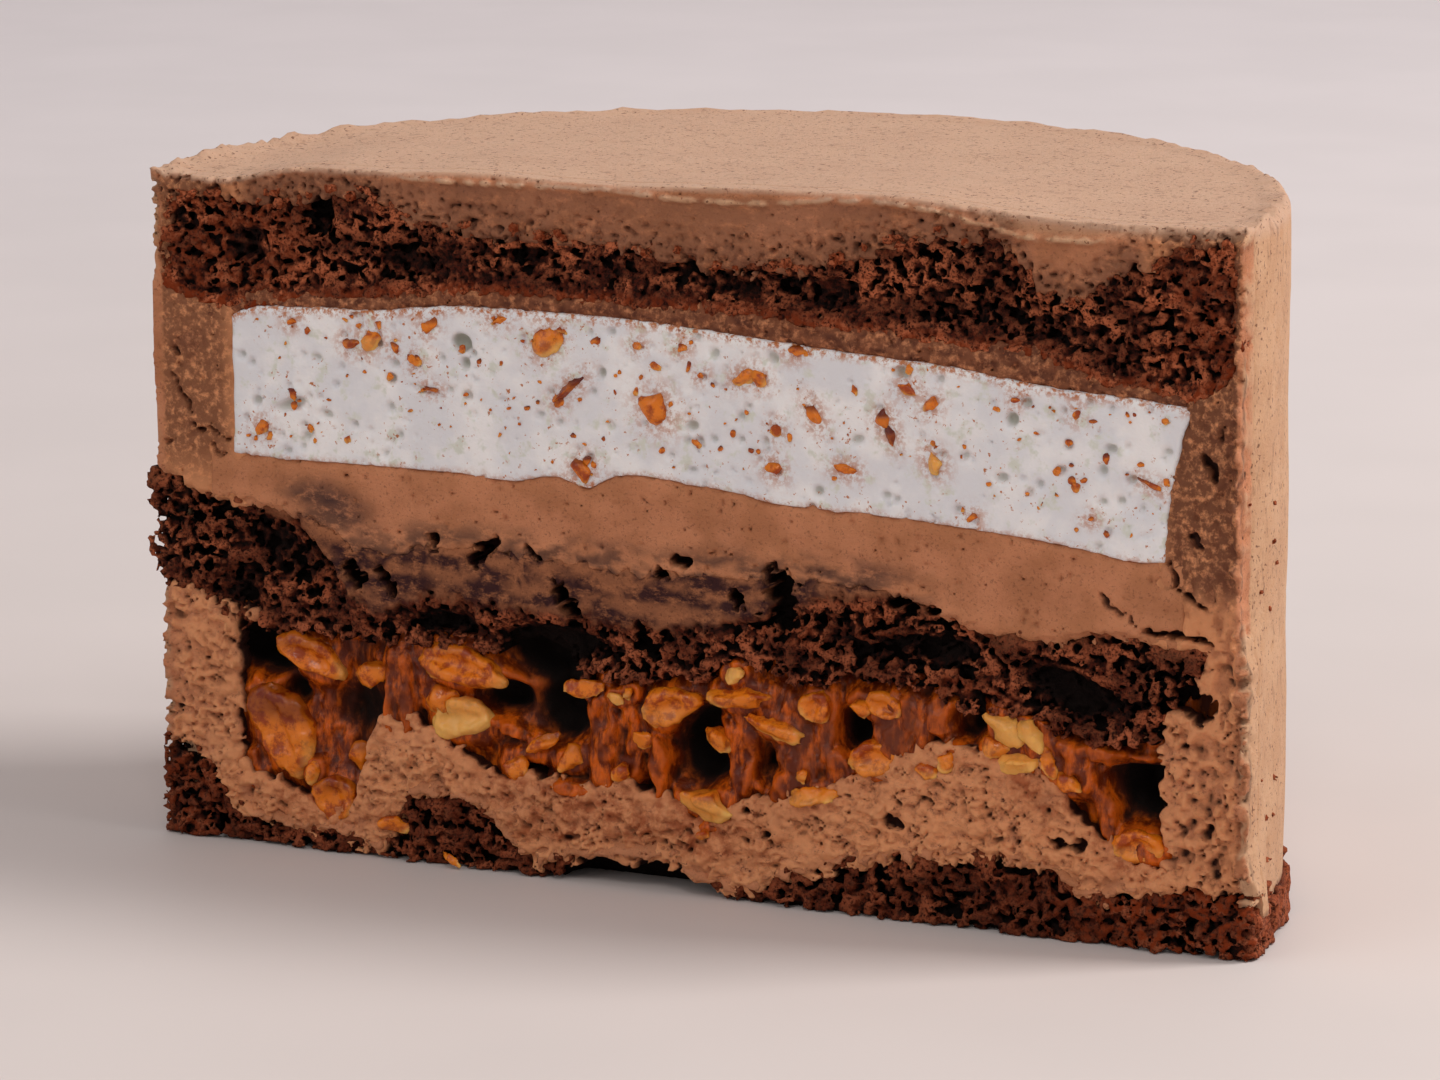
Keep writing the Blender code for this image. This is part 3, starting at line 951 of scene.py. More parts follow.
class Outline:
    """Where the layers meet along the cut, read off the cake in millimetres."""

    base_top = Curve([
        (-80, 13.9), (-74.7, 12.1), (-69.5, 5.8), (-62, 3.8), (-50.6, 3.2), (-47, 2.0), (-42.9, 7.2),
        (-41.6, 10.4), (-33, 10.1), (-29, 8.4), (-26, 4.8), (-14, 4.4), (-6, 5.6), (1.8, 3.4), (7, 2.0),
        (15, 4.9), (24.2, 7.7), (40.9, 10.2), (51, 10.2), (60, 6.8), (68, 9.0), (75, 8.8), (84, 7.5),
    ])
    bed_top = Curve([
        (-71, 10.4), (-66, 9.2), (-60, 7.4), (-53.7, 5.2), (-50.6, 6.4), (-48.2, 15.2), (-44.6, 18.6),
        (-37.8, 18.2), (-31.7, 13.2), (-21.1, 12.8), (-6, 12.6), (2.9, 10.6), (11.8, 13.6),
        (20.5, 15.2), (27, 18.6), (37.7, 23.6), (46.2, 22.4), (52.4, 21.8), (56.5, 15.4), (60.2, 12.6),
        (68.5, 9.9), (71, 9.8),
    ])
    sponge_foot = Curve([
        (-84, 38.6), (-80, 36.4), (-75.8, 34.8), (-68.2, 31.6), (-62, 30.4), (-42, 30.7), (-26.8, 31.2),
        (-21.5, 33.0), (-16.8, 29.6), (-5.8, 29.3), (3.1, 30.1), (11.9, 32.3), (17.7, 30.6),
        (26.4, 32.2), (36, 30.6), (43.4, 28.9), (56, 26.8), (66, 27.6), (70.6, 31.6), (74.2, 37.6),
        (77, 40.4),
    ])
    sponge_head = Curve([
        (-84, 50.8), (-80, 52.0), (-73.9, 50.0), (-61.4, 48.4), (-55, 46.8), (-49.5, 43.9),
        (-43.4, 42.8), (-38.1, 44.9), (-17.5, 44.4), (-5.6, 43.8), (3.2, 44.4), (14.9, 44.8),
        (34.9, 43.7), (42, 41.2), (50.4, 40.6), (62.1, 42.0), (70, 41.2), (77, 41.4),
    ])
    nougat_foot = Curve([
        (-71, 55.7), (-64.4, 55.0), (-33.6, 55.2), (-25, 54.7), (-18.7, 55.9), (-13.6, 54.7),
        (-11, 56.0), (4.8, 56.1), (14, 54.9), (29.3, 54.5), (42.3, 53.8), (56.3, 52.6), (64.7, 51.5),
        (72, 51.7),
    ])
    nougat_head = Curve([
        (-71, 73.2), (-68.9, 73.5), (-65.8, 75.0), (-56.6, 76.0), (-43.4, 76.5), (-37.1, 77.4),
        (-21.7, 77.9), (-4.7, 77.6), (12.4, 76.4), (23.3, 75.6), (38.8, 74.7), (54.4, 72.9),
        (63.7, 72.5), (72.5, 71.7),
    ])
    top_sponge_foot = Curve([
        (-80, 77.9), (-74.5, 75.9), (-65.8, 75.3), (-56.6, 76.6), (-41, 78.5), (-28.9, 79.7),
        (-5.4, 79.5), (8.7, 79.2), (23.7, 78.4), (40.9, 77.2), (53.6, 76.2), (59.1, 73.9), (66.2, 73.4),
        (72.4, 72.6), (76.8, 75.3), (80, 81.2),
    ])
    top_sponge_head = Curve([
        (-80, 90.6), (-73.2, 91.2), (-62, 91.4), (-52, 92.2), (-47.6, 92.6), (-41, 90.0), (-28.7, 88.2),
        (-12.4, 88.4), (-5, 87.4), (3.7, 86.7), (20.9, 87.5), (26.6, 89.3), (32.2, 90.9), (40.6, 92.1),
        (46.1, 91.4), (51.4, 85.9), (57.1, 85.5), (61.2, 88.9), (66, 90.6), (73.3, 93.2), (80, 93.2),
    ])
    top_edge = Curve([
        (-80, 93.6), (-70.5, 93.0), (-56.1, 95.2), (-42.2, 95.4), (-28.6, 96.0), (-12.0, 95.6),
        (2.6, 95.9), (23.8, 96.5), (32.4, 96.4), (44.3, 95.4), (53.5, 94.8), (80, 94.6),
    ])
    ledge = Curve([
        (-80, 92.0), (-46, 94.6), (-28.6, 94.7), (-12, 94.9), (2.3, 94.3), (12.4, 94.4), (25.2, 95.6),
        (35, 95.2), (43.4, 93.5), (51.6, 92.2), (58.5, 92.4), (80, 92.6),
    ])
    nougat_left = -67.6
    nougat_right = Curve([(51, 68.8), (57, 69.0), (65, 70.3), (72, 72.0), (80, 72.6)])
    sponge_right = 75.2


RELIEF = Noise(41)


@dataclass(frozen=True)
class Tear:
    """A crack or hole in the cut: its turning points, half its width, and its depth."""

    points: Sequence[Pair]
    width: float
    deep: float

    def depth(self, x: Array, z: Array, fray: Array) -> Array:
        """How much deeper the cut face lies for this tear, with its edge frayed.

        Args:
            x: Places along the cut.
            z: Heights.
            fray: How far the edge strays at each.

        Returns:
            Further depth in millimetres.
        """
        far = blank(x, z, FAR)
        for (x0, z0), (x1, z1) in zip(self.points, self.points[1:]):
            dx, dz = x1 - x0, z1 - z0
            share = np.clip(((x - x0) * dx + (z - z0) * dz) / (dx * dx + dz * dz), 0.0, 1.0)
            far = np.minimum(far, np.hypot(x - x0 - share * dx, z - z0 - share * dz))
        return self.deep * ease(far / self.width + fray * min(1.0, self.width), 1.15, 0.7)


TEARS = (
    Tear([(-37.3, 46.2), (-37.0, 44.6)], 0.7, 4.5), Tear([(-30.4, 43.8), (-28.2, 45.8)], 1.0, 4.5),
    Tear([(-22.6, 45.6), (-20.8, 44.4)], 0.5, 3.5), Tear([(-0.6, 45.8), (0.6, 45.6)], 0.7, 4.0),
    Tear([(-3.0, 44.0), (-2.2, 43.8)], 0.7, 4.0), Tear([(30.8, 43.2), (33.0, 42.6)], 0.9, 4.5),
    Tear([(35.6, 42.4), (36.6, 42.4)], 0.6, 3.5), Tear([(-50.2, 40.6), (-49.0, 39.0)], 1.1, 5.0),
    Tear([(-45.0, 40.2), (-43.6, 38.2)], 0.9, 4.5), Tear([(-18.4, 40.4), (-16.2, 37.6)], 1.1, 4.5),
    Tear([(14.4, 44.6), (14.8, 39.6)], 1.7, 6.0), Tear([(-6.2, 36.0), (-5.2, 33.6)], 1.1, 5.0),
    Tear([(8.0, 42.4), (8.6, 40.4)], 0.8, 4.0),
    Tear([(68.7, 51.9), (70.8, 48.4), (72.4, 47.0), (74.4, 46.2)], 0.3, 1.6),
    Tear([(60.0, 46.8), (61.4, 44.9), (64.6, 43.6)], 0.24, 1.1),
    Tear([(66.0, 42.4), (70.0, 42.2), (75.2, 41.8)], 0.4, 2.6),
    Tear([(71.6, 34.0), (73.2, 32.8)], 1.9, 7.0),
    Tear([(-77.0, 65.6), (-75.8, 63.0), (-74.0, 60.6)], 0.26, 1.2),
    Tear([(-74.0, 58.8), (-71.6, 58.0), (-68.4, 57.0)], 0.24, 1.1),
    Tear([(-76.8, 69.0), (-76.4, 68.4)], 0.34, 1.2), Tear([(-71.0, 55.6), (-69.6, 54.6)], 0.34, 1.2),
    Tear([(-78.8, 56.4), (-77.6, 55.8)], 0.3, 1.0),
    Tear([(74.0, 65.6), (75.2, 64.2), (75.0, 62.6)], 0.42, 1.8),
    Tear([(76.0, 70.0), (76.2, 68.0)], 0.3, 1.2), Tear([(72.4, 55.6), (73.2, 54.0)], 0.36, 1.4),
    Tear([(53.0, 13.4), (54.8, 12.6), (57.4, 13.4)], 0.6, 2.2),
    Tear([(45.4, 9.4), (48.6, 8.6)], 0.6, 2.0), Tear([(29.6, 13.8), (31.6, 12.6)], 0.5, 2.0),
)


def tear_depth(x: Array, z: Array) -> Array:
    """How much deeper the cut face lies where it is torn.

    Args:
        x: Places along the cut.
        z: Heights.

    Returns:
        Further depth in millimetres.
    """
    deepest = blank(x, z)
    across = x + 1.4 * RELIEF.smooth(x / 2.2, 0 * x + 3.0, z / 1.9)
    across = across + 0.4 * RELIEF.smooth(x / 0.9, 0 * x, z / 0.9)
    up = z + 1.3 * RELIEF.smooth(x / 2.0, 0 * x + 7.0, z / 2.0)
    up = up + 0.4 * RELIEF.smooth(x / 0.8, 0 * x + 2.0, z / 0.8)
    fray = 1.2 * RELIEF.rough(x, 0 * x + 5.0, z / 0.9, 2, 0.6)
    for tear in TEARS:
        deepest = np.maximum(deepest, tear.depth(across, up, fray))
    return deepest


def frayed(x: Array, z: Array) -> Array:
    """How far a torn border between two layers strays, the same for both of them, about 0."""
    return RELIEF.rough(x / 2.3, 0 * x + 11.0, z / 1.9, 3, 0.62)


def smeared(x: Array, z: Array) -> Array:
    """How much crumb the knife dragged over the cream above the middle sponge, from 0 to 1.

    Args:
        x: Places along the cut.
        z: Heights.

    Returns:
        The share of crumb at each place.
    """
    above = z - Outline.sponge_head(x)
    length = ease(x, -63.0, -54.0) * ease(x, 44.0, 26.0)
    height = ease(above, 5.2, 0.8)
    streak = RELIEF.rough(x / 6.5, 0 * x + 6.0, z / 2.0, 4, 0.62)
    left = 0.9 * mound(x, z, (-53.0, 49.6), (12.0, 5.0), -14)
    base = 0.3 * ease(above, 0.5, -2.0)
    return np.clip(length * height * (base + (1 - base) * ease(streak, -0.2, 0.15)) + left, 0.0, 1.0)


def torn_head(x: Array) -> Array:
    """The ragged upper edge of the top sponge."""
    jag = 1.3 * RELIEF.smooth(x / 1.5, 0 * x, 0 * x + 2.2)
    jag = jag + 0.9 * RELIEF.smooth(x / 0.62, 0 * x, 0 * x + 5.2)
    spikes = 3.4 * np.maximum(0.0, RELIEF.smooth(x / 1.1, 0 * x + 3.0, 0 * x) - 0.24)
    return Outline.top_sponge_head(x) + (jag + spikes) * ease(x, 77.0, 72.0)


def top_height(x: Array, y: Array) -> Array:
    """How high the iced top lies at x along the cut and y behind it.

    Args:
        x: Places along the cut.
        y: Places behind it.

    Returns:
        Heights over the table.
    """
    share = ease(y, 0.0, 45.0)
    level = Outline.top_edge(x) * (1 - share) + TOP_LEVEL * share
    level = level + 0.3 * RELIEF.smooth(x / 17, y / 13, 4.4 + 0 * x)
    level = level + 0.14 * RELIEF.smooth(x / 5, y / 5, 9.4 + 0 * x)
    reach = np.hypot(x, y)
    lumps = RELIEF.rough(x / 3.1, y / 3.1, 0 * x + 6.6, 3, 0.6)
    ends = ease(x, -62.0, -76.0) + 0.6 * ease(x, 60.0, 74.0)
    rim = ease(reach, CAKE_RADIUS - 5.0, CAKE_RADIUS - 1.2)
    rim = rim * ease(reach, CAKE_RADIUS + 0.6, CAKE_RADIUS - 0.9)
    dips = np.maximum(0.0, RELIEF.smooth(x / 2.6, y / 2.6, 0 * x + 1.1) - 0.2)
    level = level + rim * (0.3 + 0.5 * lumps + ends * (0.3 + 0.8 * lumps)) - 0.7 * dips * (0.2 + ends)
    return np.minimum(level, TOP_LIMIT)


def side_out(x: Array, y: Array, z: Array) -> Array:
    """How far the round side stands out from its plain radius.

    Args:
        x: Places along the cut.
        y: Places behind it.
        z: Heights.

    Returns:
        Millimetres outward, below zero in dents.
    """
    corner = -1.0 + 1.4 * ease(z, 44.0, 37.0) + 1.9 * ease(z, 14.0, 6.0)
    near = ease(y, 11.0, 2.0) * (x > 0)
    wave = 0.4 * RELIEF.smooth(x / 21, y / 21, z / 13)
    wave = wave + 0.15 * RELIEF.rough(x / 4.5, y / 4.5, z / 11, 3, 0.55)
    broad = 0.6 * RELIEF.rough(x / 9, y / 9 + 4.0, z / 3.4, 3, 0.6)
    ripple = broad + 0.5 * RELIEF.rough(x / 2, y / 1.8, z / 2.6, 3, 0.65)
    ripple = ripple * ease(y, 8.0, 0.5) * (x > 0)
    pits, own = RELIEF.cells(x / 3.2, y / 3.2, z / 3.2)
    pit = np.where(own > 0.5, ease(pits, 0.3, 0.1) * 0.4, 0.0)
    by_sponges = 0.9 * ease(z, 53.0, 50.0) * ease(z, 34.0, 37.5) + 0.9 * ease(z, 14.5, 12.0)
    left_back = ease(x, -70.0, -79.0) * by_sponges
    return corner * near + wave + ripple - pit - 1.6 * left_back


@dataclass
class Layer(ABC):
    """A food layer that shows at the cut: a fine front, and a plain half disc behind it."""

    name: str
    node: str
    slot: Slot
    spacing: float = 0.4
    depth: float = 6.0
    fine_depth: float = 3.5
    radius: float = 70.0
    shift: float = 0.0
    reach: Pair = (-72.0, 72.0)
    span: Pair = (0.0, 10.0)
    fray: Pair = (0.0, 0.0)
    budget: int = 60000
    seed: int = 1

    def __post_init__(self) -> None:
        """Draws this layer's own noise."""
        self.noise = Noise(self.seed)

    @abstractmethod
    def low(self, x: Array) -> Array:
        """The layer's underside along the cut.

        Args:
            x: Places along the cut.

        Returns:
            Its height at each place.
        """

    @abstractmethod
    def high(self, x: Array) -> Array:
        """The layer's top along the cut.

        Args:
            x: Places along the cut.

        Returns:
            Its height at each place.
        """

    @abstractmethod
    def carve(self, x: Array, y: Array, z: Array) -> Array:
        """The field whose zero is the layer's surface, below zero in the food.

        Args:
            x: The lattice's places along the cut.
            y: Its places behind the cut.
            z: Its heights.

        Returns:
            The field at each lattice point.
        """

    def marks(self, points: Array) -> dict[str, Array]:
        """Numbers for the material at each point of the mesh.

        Args:
            points: Rows of x, y and z in cut coordinates.

        Returns:
            The marks, by name.
        """
        return {}

    def steps(self) -> tuple[Array, Array, Array]:
        """The lattice's coordinates: even across the cut, and wider apart deep behind it."""
        gap = self.spacing * COARSER
        xs = np.arange(self.reach[0], self.reach[1] + gap, gap, np.float32)
        zs = np.arange(self.span[0], self.span[1] + gap, gap, np.float32)
        ys = list(np.arange(-1.6, self.fine_depth, gap))
        step = gap
        while ys[-1] < self.depth:
            step *= 1.3
            ys.append(ys[-1] + step)
        return xs, np.array(ys, np.float32), zs

    def body(self, x: Array, y: Array, z: Array, ragged: Array | float = 0.0) -> Array:
        """The plain region of the layer, without its cut face.

        Args:
            x: Places along the cut.
            y: Places behind it.
            z: Heights.
            ragged: How far its underside and top are eaten in.

        Returns:
            A field, below zero inside it.
        """
        stray = frayed(x, z)
        floor = self.low(x) + self.fray[0] * stray + ragged - z
        roof = z - self.high(x) - self.fray[1] * stray + ragged
        side = np.hypot(x - self.shift, y) - self.radius
        return np.maximum(np.maximum(floor, roof), side)

    def behind(self) -> tuple[Array, Array]:
        """The plain half disc behind the fine front, as points and four-sided faces."""
        front = self.depth - 0.5
        half = math.sqrt(self.radius**2 - front**2) - 0.4
        turns = np.cos(np.linspace(math.pi, 0.0, 49))
        xs = (self.shift + half * turns).astype(np.float32)
        deep = np.sqrt(np.maximum(min(self.radius - 0.2, HIDDEN_RADIUS) ** 2 - xs**2, (front + 0.5) ** 2))
        low, high = self.low(xs) + 0.05, self.high(xs) - 0.05
        rows = [(front, low), (front, high), (deep, high), (deep, low)]
        points = [np.stack([xs, np.broadcast_to(y, xs.shape), z], 1) for y, z in rows]
        columns = len(xs)
        faces = []
        for row in range(4):
            after = (row + 1) % 4
            for i in range(columns - 1):
                a, b = row * columns + i, after * columns + i
                faces.append((a, a + 1, b + 1, b))
        faces.append([row * columns for row in range(4)])
        faces.append([row * columns + columns - 1 for row in (3, 2, 1, 0)])
        return np.concatenate(points), np.array(faces)

    def build(self, material: Material) -> Piece:
        """Carves the layer and makes its piece.

        Args:
            material: The layer's finish.

        Returns:
            The finished piece.
        """
        xs, ys, zs = self.steps()
        x, y, z = xs[:, None, None], ys[None, :, None], zs[None, None, :]
        values = self.carve(x, y, z).astype(np.float32)
        values = one_body(bounded(values), self.spacing)
        points, faces = surface_nets(values, (xs, ys, zs))
        loops = open_loops(faces)
        more_points, more_faces = self.behind()
        all_faces = np.concatenate([faces, more_faces + len(points)])
        all_points = np.concatenate([points, more_points.astype(np.float32)])
        piece = mesh_object(self.name, all_points, all_faces, loops, self.marks, self.budget)
        return settle(piece, self.slot, material, self.node)


@dataclass
class SpongeLayer(Layer):
    """Chocolate sponge torn by the knife: grains in clumps, with open holes between them."""

    slot: Slot = Slot.SPONGE
    spacing: float = 0.3
    crag: float = 1.0
    clump: float = 1.55
    grain: float = 0.8
    bead: float = 0.75
    lit: float = 1.0

    @abstractmethod
    def airy(self, x: Array, z: Array) -> Array:
        """How open the crumb is, from 0 where it is pressed flat to 1 where it is full of holes."""

    def pressed(self, x: Array, z: Array) -> Array:
        """Where cream is smeared over the sponge, from 0 to 1."""
        return blank(x, z)

    def holes(self, x: Array, z: Array) -> Array:
        """Further depth where the sponge is torn open."""
        return blank(x, z)

    def carve(self, x: Array, y: Array, z: Array) -> Array:
        """Round grains on clumps of crumb that stand before a deeper wall."""
        noise = self.noise
        open_ = np.clip(self.airy(x, z), 0.0, 1.3)
        flat = self.pressed(x, z)
        crags = noise.rough(x / 4.6, y * 0 + 0.5, z / 3.0, 4, 0.62)
        recess = 0.55 + self.crag * (0.5 + 1.2 * crags) * (0.35 + open_) + self.holes(x, z)
        recess = np.maximum(recess * (1 - flat) + 0.45 * flat, 0.2) + tear_depth(x, z)
        recess = np.minimum(recess, 4.7 + 0.8 * noise.smooth(x / 1.3, 0 * x + 2.0, z / 1.3))
        size = self.clump
        sponge = noise.rough(x / size, y / size, z / (size * 0.85), 4, 0.68)
        grains, own = noise.cells(x / self.grain, y / self.grain, z / self.grain)
        bead = self.bead * (0.52 - grains) * (0.5 + own) * (1 - 0.75 * flat)
        empty = (-0.34 + 0.38 * open_ - 0.62 * flat - sponge) * 1.7
        wall = np.minimum(recess + 0.3 + 3.4 * open_ * (1 - 0.6 * flat), 5.2) - y
        wall = np.maximum(wall, np.hypot(x - self.shift, y) - self.radius + 1.8)
        shape = np.maximum(np.minimum(empty, wall), recess - y)
        ragged = 0.9 * noise.rough(x / 1.5, y / 2.0, z / 2.4, 2, 0.6)
        return np.maximum(self.body(x, y, z, ragged), shape) - bead

    def marks(self, points: Array) -> dict[str, Array]:
        """Painted highlight on crumb that stands out of the cut and on the outer crumb of the round side;
        painted shade in hollows, deeper places and further in.
        """
        x, y, z = points.T
        near, wide = stand_out(points, 0.6), stand_out(points, 2.2)
        patch = ease(self.noise.smooth(x / 6, y / 6 + 3, z / 4), -0.3, 0.3)
        flat = self.pressed(x, z) * ease(wide, -0.9, -0.3)
        far = np.hypot(x - self.shift, y) - self.radius
        outside = ease(far, -4.0, -3.0) * ease(y, 1.2, 2.2)
        lift = ease(near, 0.15, 0.55) * ease(wide, -0.5, 0.35)
        # Painted highlight on crumb standing out of the cut.
        crest = self.lit * lift * (0.25 + 0.75 * patch) * (1 - flat) * ease(y, 4.0, 2.0) * (1 - outside)
        # Painted shade in hollows and deeper behind the cut.
        deep = np.maximum(ease(near + 0.5 * wide, 0.3, -0.45), ease(y, 2.0, 4.2)) * (1 - outside)
        # On the round side, painted highlight on the outer crumb and painted shade further in.
        crest = crest + 0.7 * outside * ease(far, -1.2, -0.1)
        deep = deep + outside * ease(far, -0.9, -2.6)
        # Rust is the crumb's own tone by region, shown mainly on raised crumb and the round side: partly a
        # painted highlight.
        rust = self.rust(x, z) * np.maximum(ease(wide, -0.4, 0.4), 0.5 * outside)
        return {"crest": crest, "smear": flat, "deep": deep, "rust": rust, "haze": smeared(x, z)}

    def rust(self, x: Array, z: Array) -> Array:
        """Where the crumb is rusty orange, from 0 to 1."""
        return 0.35 * ease(self.noise.smooth(x / 8, 0 * x, z / 5), 0.0, 0.35)


@dataclass
class TopSponge(SpongeLayer):
    """The top sponge, torn along its upper edge and pressed along its lower one."""

    name: str = "top_sponge"
    node: str = "sponge_top"
    radius: float = 78.7
    reach: Pair = (-80.6, 80.6)
    span: Pair = (70.0, 97.0)
    fray: Pair = (0.8, 1.8)
    budget: int = 158000
    seed: int = 11

    def low(self, x: Array) -> Array:
        """The sponge's pressed underside."""
        return Outline.top_sponge_foot(x)

    def high(self, x: Array) -> Array:
        """Its upper edge under the icing."""
        return torn_head(x)

    def airy(self, x: Array, z: Array) -> Array:
        """Open in the middle of the layer and pressed near its underside."""
        above = z - Outline.top_sponge_foot(x)
        return (0.72 + 0.7 * self.noise.smooth(x / 7, 0.5 + 0 * x, z / 3.2)) * ease(above, 0.4, 3.6)

    def holes(self, x: Array, z: Array) -> Array:
        """Deep places between the crumbs, and a slit high up at the left."""
        depth = 4.5 * mound(x, z, (-54.0, 90.5), (3.0, 6.0), 12) + 2.2 * mound(x, z, (-66, 84), (8, 5))
        depth = depth + 2.2 * mound(x, z, (-40, 83.5), (9, 4)) + 1.6 * mound(x, z, (12, 83.5), (36, 4), -3)
        return depth + 2.0 * mound(x, z, (50, 81), (16, 5), -8) + 1.5 * mound(x, z, (-22, 85), (8, 3))

    def rust(self, x: Array, z: Array) -> Array:
        """Rusty at its left end and along its pressed underside."""
        above = z - Outline.top_sponge_foot(x)
        left, right = 0.6 * ease(x, -50.0, -64.0), 0.5 * ease(x, 62.0, 72.0)
        return np.clip(0.8 * ease(above, 2.2, 0.6) + left + right, 0, 1)


@dataclass
class MiddleSponge(SpongeLayer):
    """The middle sponge, pushed out at the left and smeared with cream along its top."""

    name: str = "middle_sponge"
    node: str = "sponge_middle"
    radius: float = 78.8
    shift: float = -3.2
    reach: Pair = (-83.4, 78.0)
    span: Pair = (23.0, 55.0)
    clump: float = 1.75
    lit: float = 0.8
    fray: Pair = (2.4, 1.3)
    budget: int = 150000
    seed: int = 23

    def low(self, x: Array) -> Array:
        """The underside over the caramel, with ragged crumbs hanging from it."""
        hang = 1.6 * RELIEF.smooth(x / 1.9, 0 * x, 0 * x + 7.7)
        hang = hang + 0.8 * RELIEF.smooth(x / 0.7, 0 * x, 0 * x + 3.1)
        return Outline.sponge_foot(x) + hang

    def high(self, x: Array) -> Array:
        """The top under the cream."""
        return Outline.sponge_head(x) + 0.8 * RELIEF.smooth(x / 1.4, 0 * x, 0 * x + 8.8)

    def airy(self, x: Array, z: Array) -> Array:
        """Open at both ends and along the underside."""
        return 0.85 + 0.8 * self.noise.smooth(x / 6, 0.5 + 0 * x, z / 4)

    def pressed(self, x: Array, z: Array) -> Array:
        """Smeared from the left third to beyond the middle, down to half the layer's height."""
        tall = 2.0 + 5.6 * ease(x, -60.0, -48.0) * ease(x, 24.0, 2.0)
        tall = tall + 2.2 * self.noise.smooth(x / 4, 0 * x, 0 * x)
        above = z - (Outline.sponge_head(x) - tall)
        edge = above + 1.6 * self.noise.rough(x / 1.6, 0 * x, z / 2.2, 2, 0.6)
        return ease(edge, -0.6, 1.2) * (0.15 + 0.85 * ease(x, -66.0, -56.0) * ease(x, 40.0, 24.0))

    def holes(self, x: Array, z: Array) -> Array:
        """Black places between the crumbs."""
        depth = 4.0 * mound(x, z, (-20.5, 32.4), (13.0, 5.0)) + 2.5 * mound(x, z, (-62, 42), (9, 8), -40)
        depth = depth + 2.5 * mound(x, z, (-36, 34), (10, 3)) + 3.0 * mound(x, z, (36, 37), (13, 4))
        return depth + 3.5 * mound(x, z, (55, 33), (13, 5), -15) + 2.2 * mound(x, z, (-68, 36), (6, 6))


@dataclass
class BottomSponge(SpongeLayer):
    """The bottom sponge on the table, with a notch torn from its front edge."""

    name: str = "bottom_sponge"
    node: str = "sponge_bottom"
    radius: float = 81.0
    reach: Pair = (-82.6, 84.4)
    span: Pair = (-1.0, 16.0)
    depth: float = 9.0
    lit: float = 0.55
    fray: Pair = (0.0, 2.6)
    budget: int = 95000
    seed: int = 37

    def low(self, x: Array) -> Array:
        """The flat underside."""
        return np.zeros_like(x)

    def high(self, x: Array) -> Array:
        """The top under the cream bed."""
        return Outline.base_top(x) + 0.9 * RELIEF.smooth(x / 1.5, 0 * x, 0 * x + 6.1)

    def airy(self, x: Array, z: Array) -> Array:
        """Open nearly everywhere."""
        return 0.8 + 0.7 * self.noise.smooth(x / 6, 0.5 + 0 * x, z / 3)

    def rust(self, x: Array, z: Array) -> Array:
        """Rusty towards its right end."""
        return np.clip(0.25 + 0.9 * ease(x, 48.0, 70.0) + 0.4 * ease(x, -68.0, -78.0), 0, 1) + 0 * z

    def carve(self, x: Array, y: Array, z: Array) -> Array:
        """Crumb, open below the notch, and never under the table."""
        shape = super().carve(x, y, z)
        notch = 5.2 * ease(x, -19.5, -15.0) * ease(x, 7.0, -1.0) * ease(y, 8.0, 5.0)
        bites = np.maximum(0.0, self.noise.smooth(x / 3.2, y / 3.2, 0.5 + z * 0) + 0.05)
        under = 1.1 * bites * ease(y, 3.0, 1.0)
        shape = np.maximum(shape, notch + under + 0.5 * self.noise.smooth(x / 1.4, y / 1.4, z * 0) - z)
        return np.maximum(shape, 0.05 - z)


@dataclass
class CreamLayer(Layer):
    """Chocolate cream cut by the knife: nearly flat, with pores and small tears."""

    slot: Slot = Slot.CREAM
    radius: float = 71.4
    torn: float = 0.0
    over: float = 0.45

    def carve(self, x: Array, y: Array, z: Array) -> Array:
        """Smooth cream with pores, reaching a little over its neighbours."""
        recess = self.face(x, z)
        ragged = 0.8 * self.noise.rough(x / 1.7, y / 3.0, z / 1.7, 3, 0.6) - self.over
        ragged = ragged + (0.3 + 0.5 * self.torn) * ease(y, 1.2, 0.5) - 0.8 * ease(y, 0.7, 1.6)
        shape = np.maximum(self.body(x, y, z, ragged), recess - y)
        pores, own = self.noise.cells(x / 1.2, y / 1.2, z / 1.2)
        hollow = np.where(own > 0.72, (0.27 - pores) * 1.3, -1.0)
        return np.maximum(shape, hollow - 1.5 * ease(y, 2.5, 4.5))

    def face(self, x: Array, z: Array) -> Array:
        """How deep the cut face lies."""
        recess = 0.4 + 0.26 * self.noise.rough(x / 8.0, 0 * x, z / 4.0, 3, 0.5)
        if self.torn:
            recess = recess + mousse(self.noise, x, z) * self.torn
        return recess + tear_depth(x, z)

    def marks(self, points: Array) -> dict[str, Array]:
        """Painted shade in hollows, tears and deeper places, and a painted highlight on what stands out.
        """
        x, y, z = points.T
        near, wide = stand_out(points, 0.8), stand_out(points, 2.6)
        # Painted shade: hollows, tears and places deeper behind the cut.
        hollow = ease(near + 0.6 * wide, -0.3 - 0.1 * self.torn, -1.2 - 0.5 * self.torn)
        tears = ease(tear_depth(x, z), 0.8, 2.4) * ease(y, 0.6, 1.3)
        deep = np.maximum(np.maximum(ease(y, 1.8 + self.torn, 4.0 + self.torn), hollow), tears)
        torn = self.torn * ease(self.noise.smooth(x / 3.0, y, z / 2.4), -0.5, 0.0)
        # Painted highlight on cream that stands out of the cut.
        crest = ease(near + 0.3 * wide, -0.05, 0.4) * (0.2 + 0.8 * self.torn)
        return {"deep": deep, "crest": crest, "torn": torn, **self.looks(x, y, z)}

    @abstractmethod
    def looks(self, x: Array, y: Array, z: Array) -> dict[str, Array]:
        """Where crumb is smeared and caramel stains the cream."""


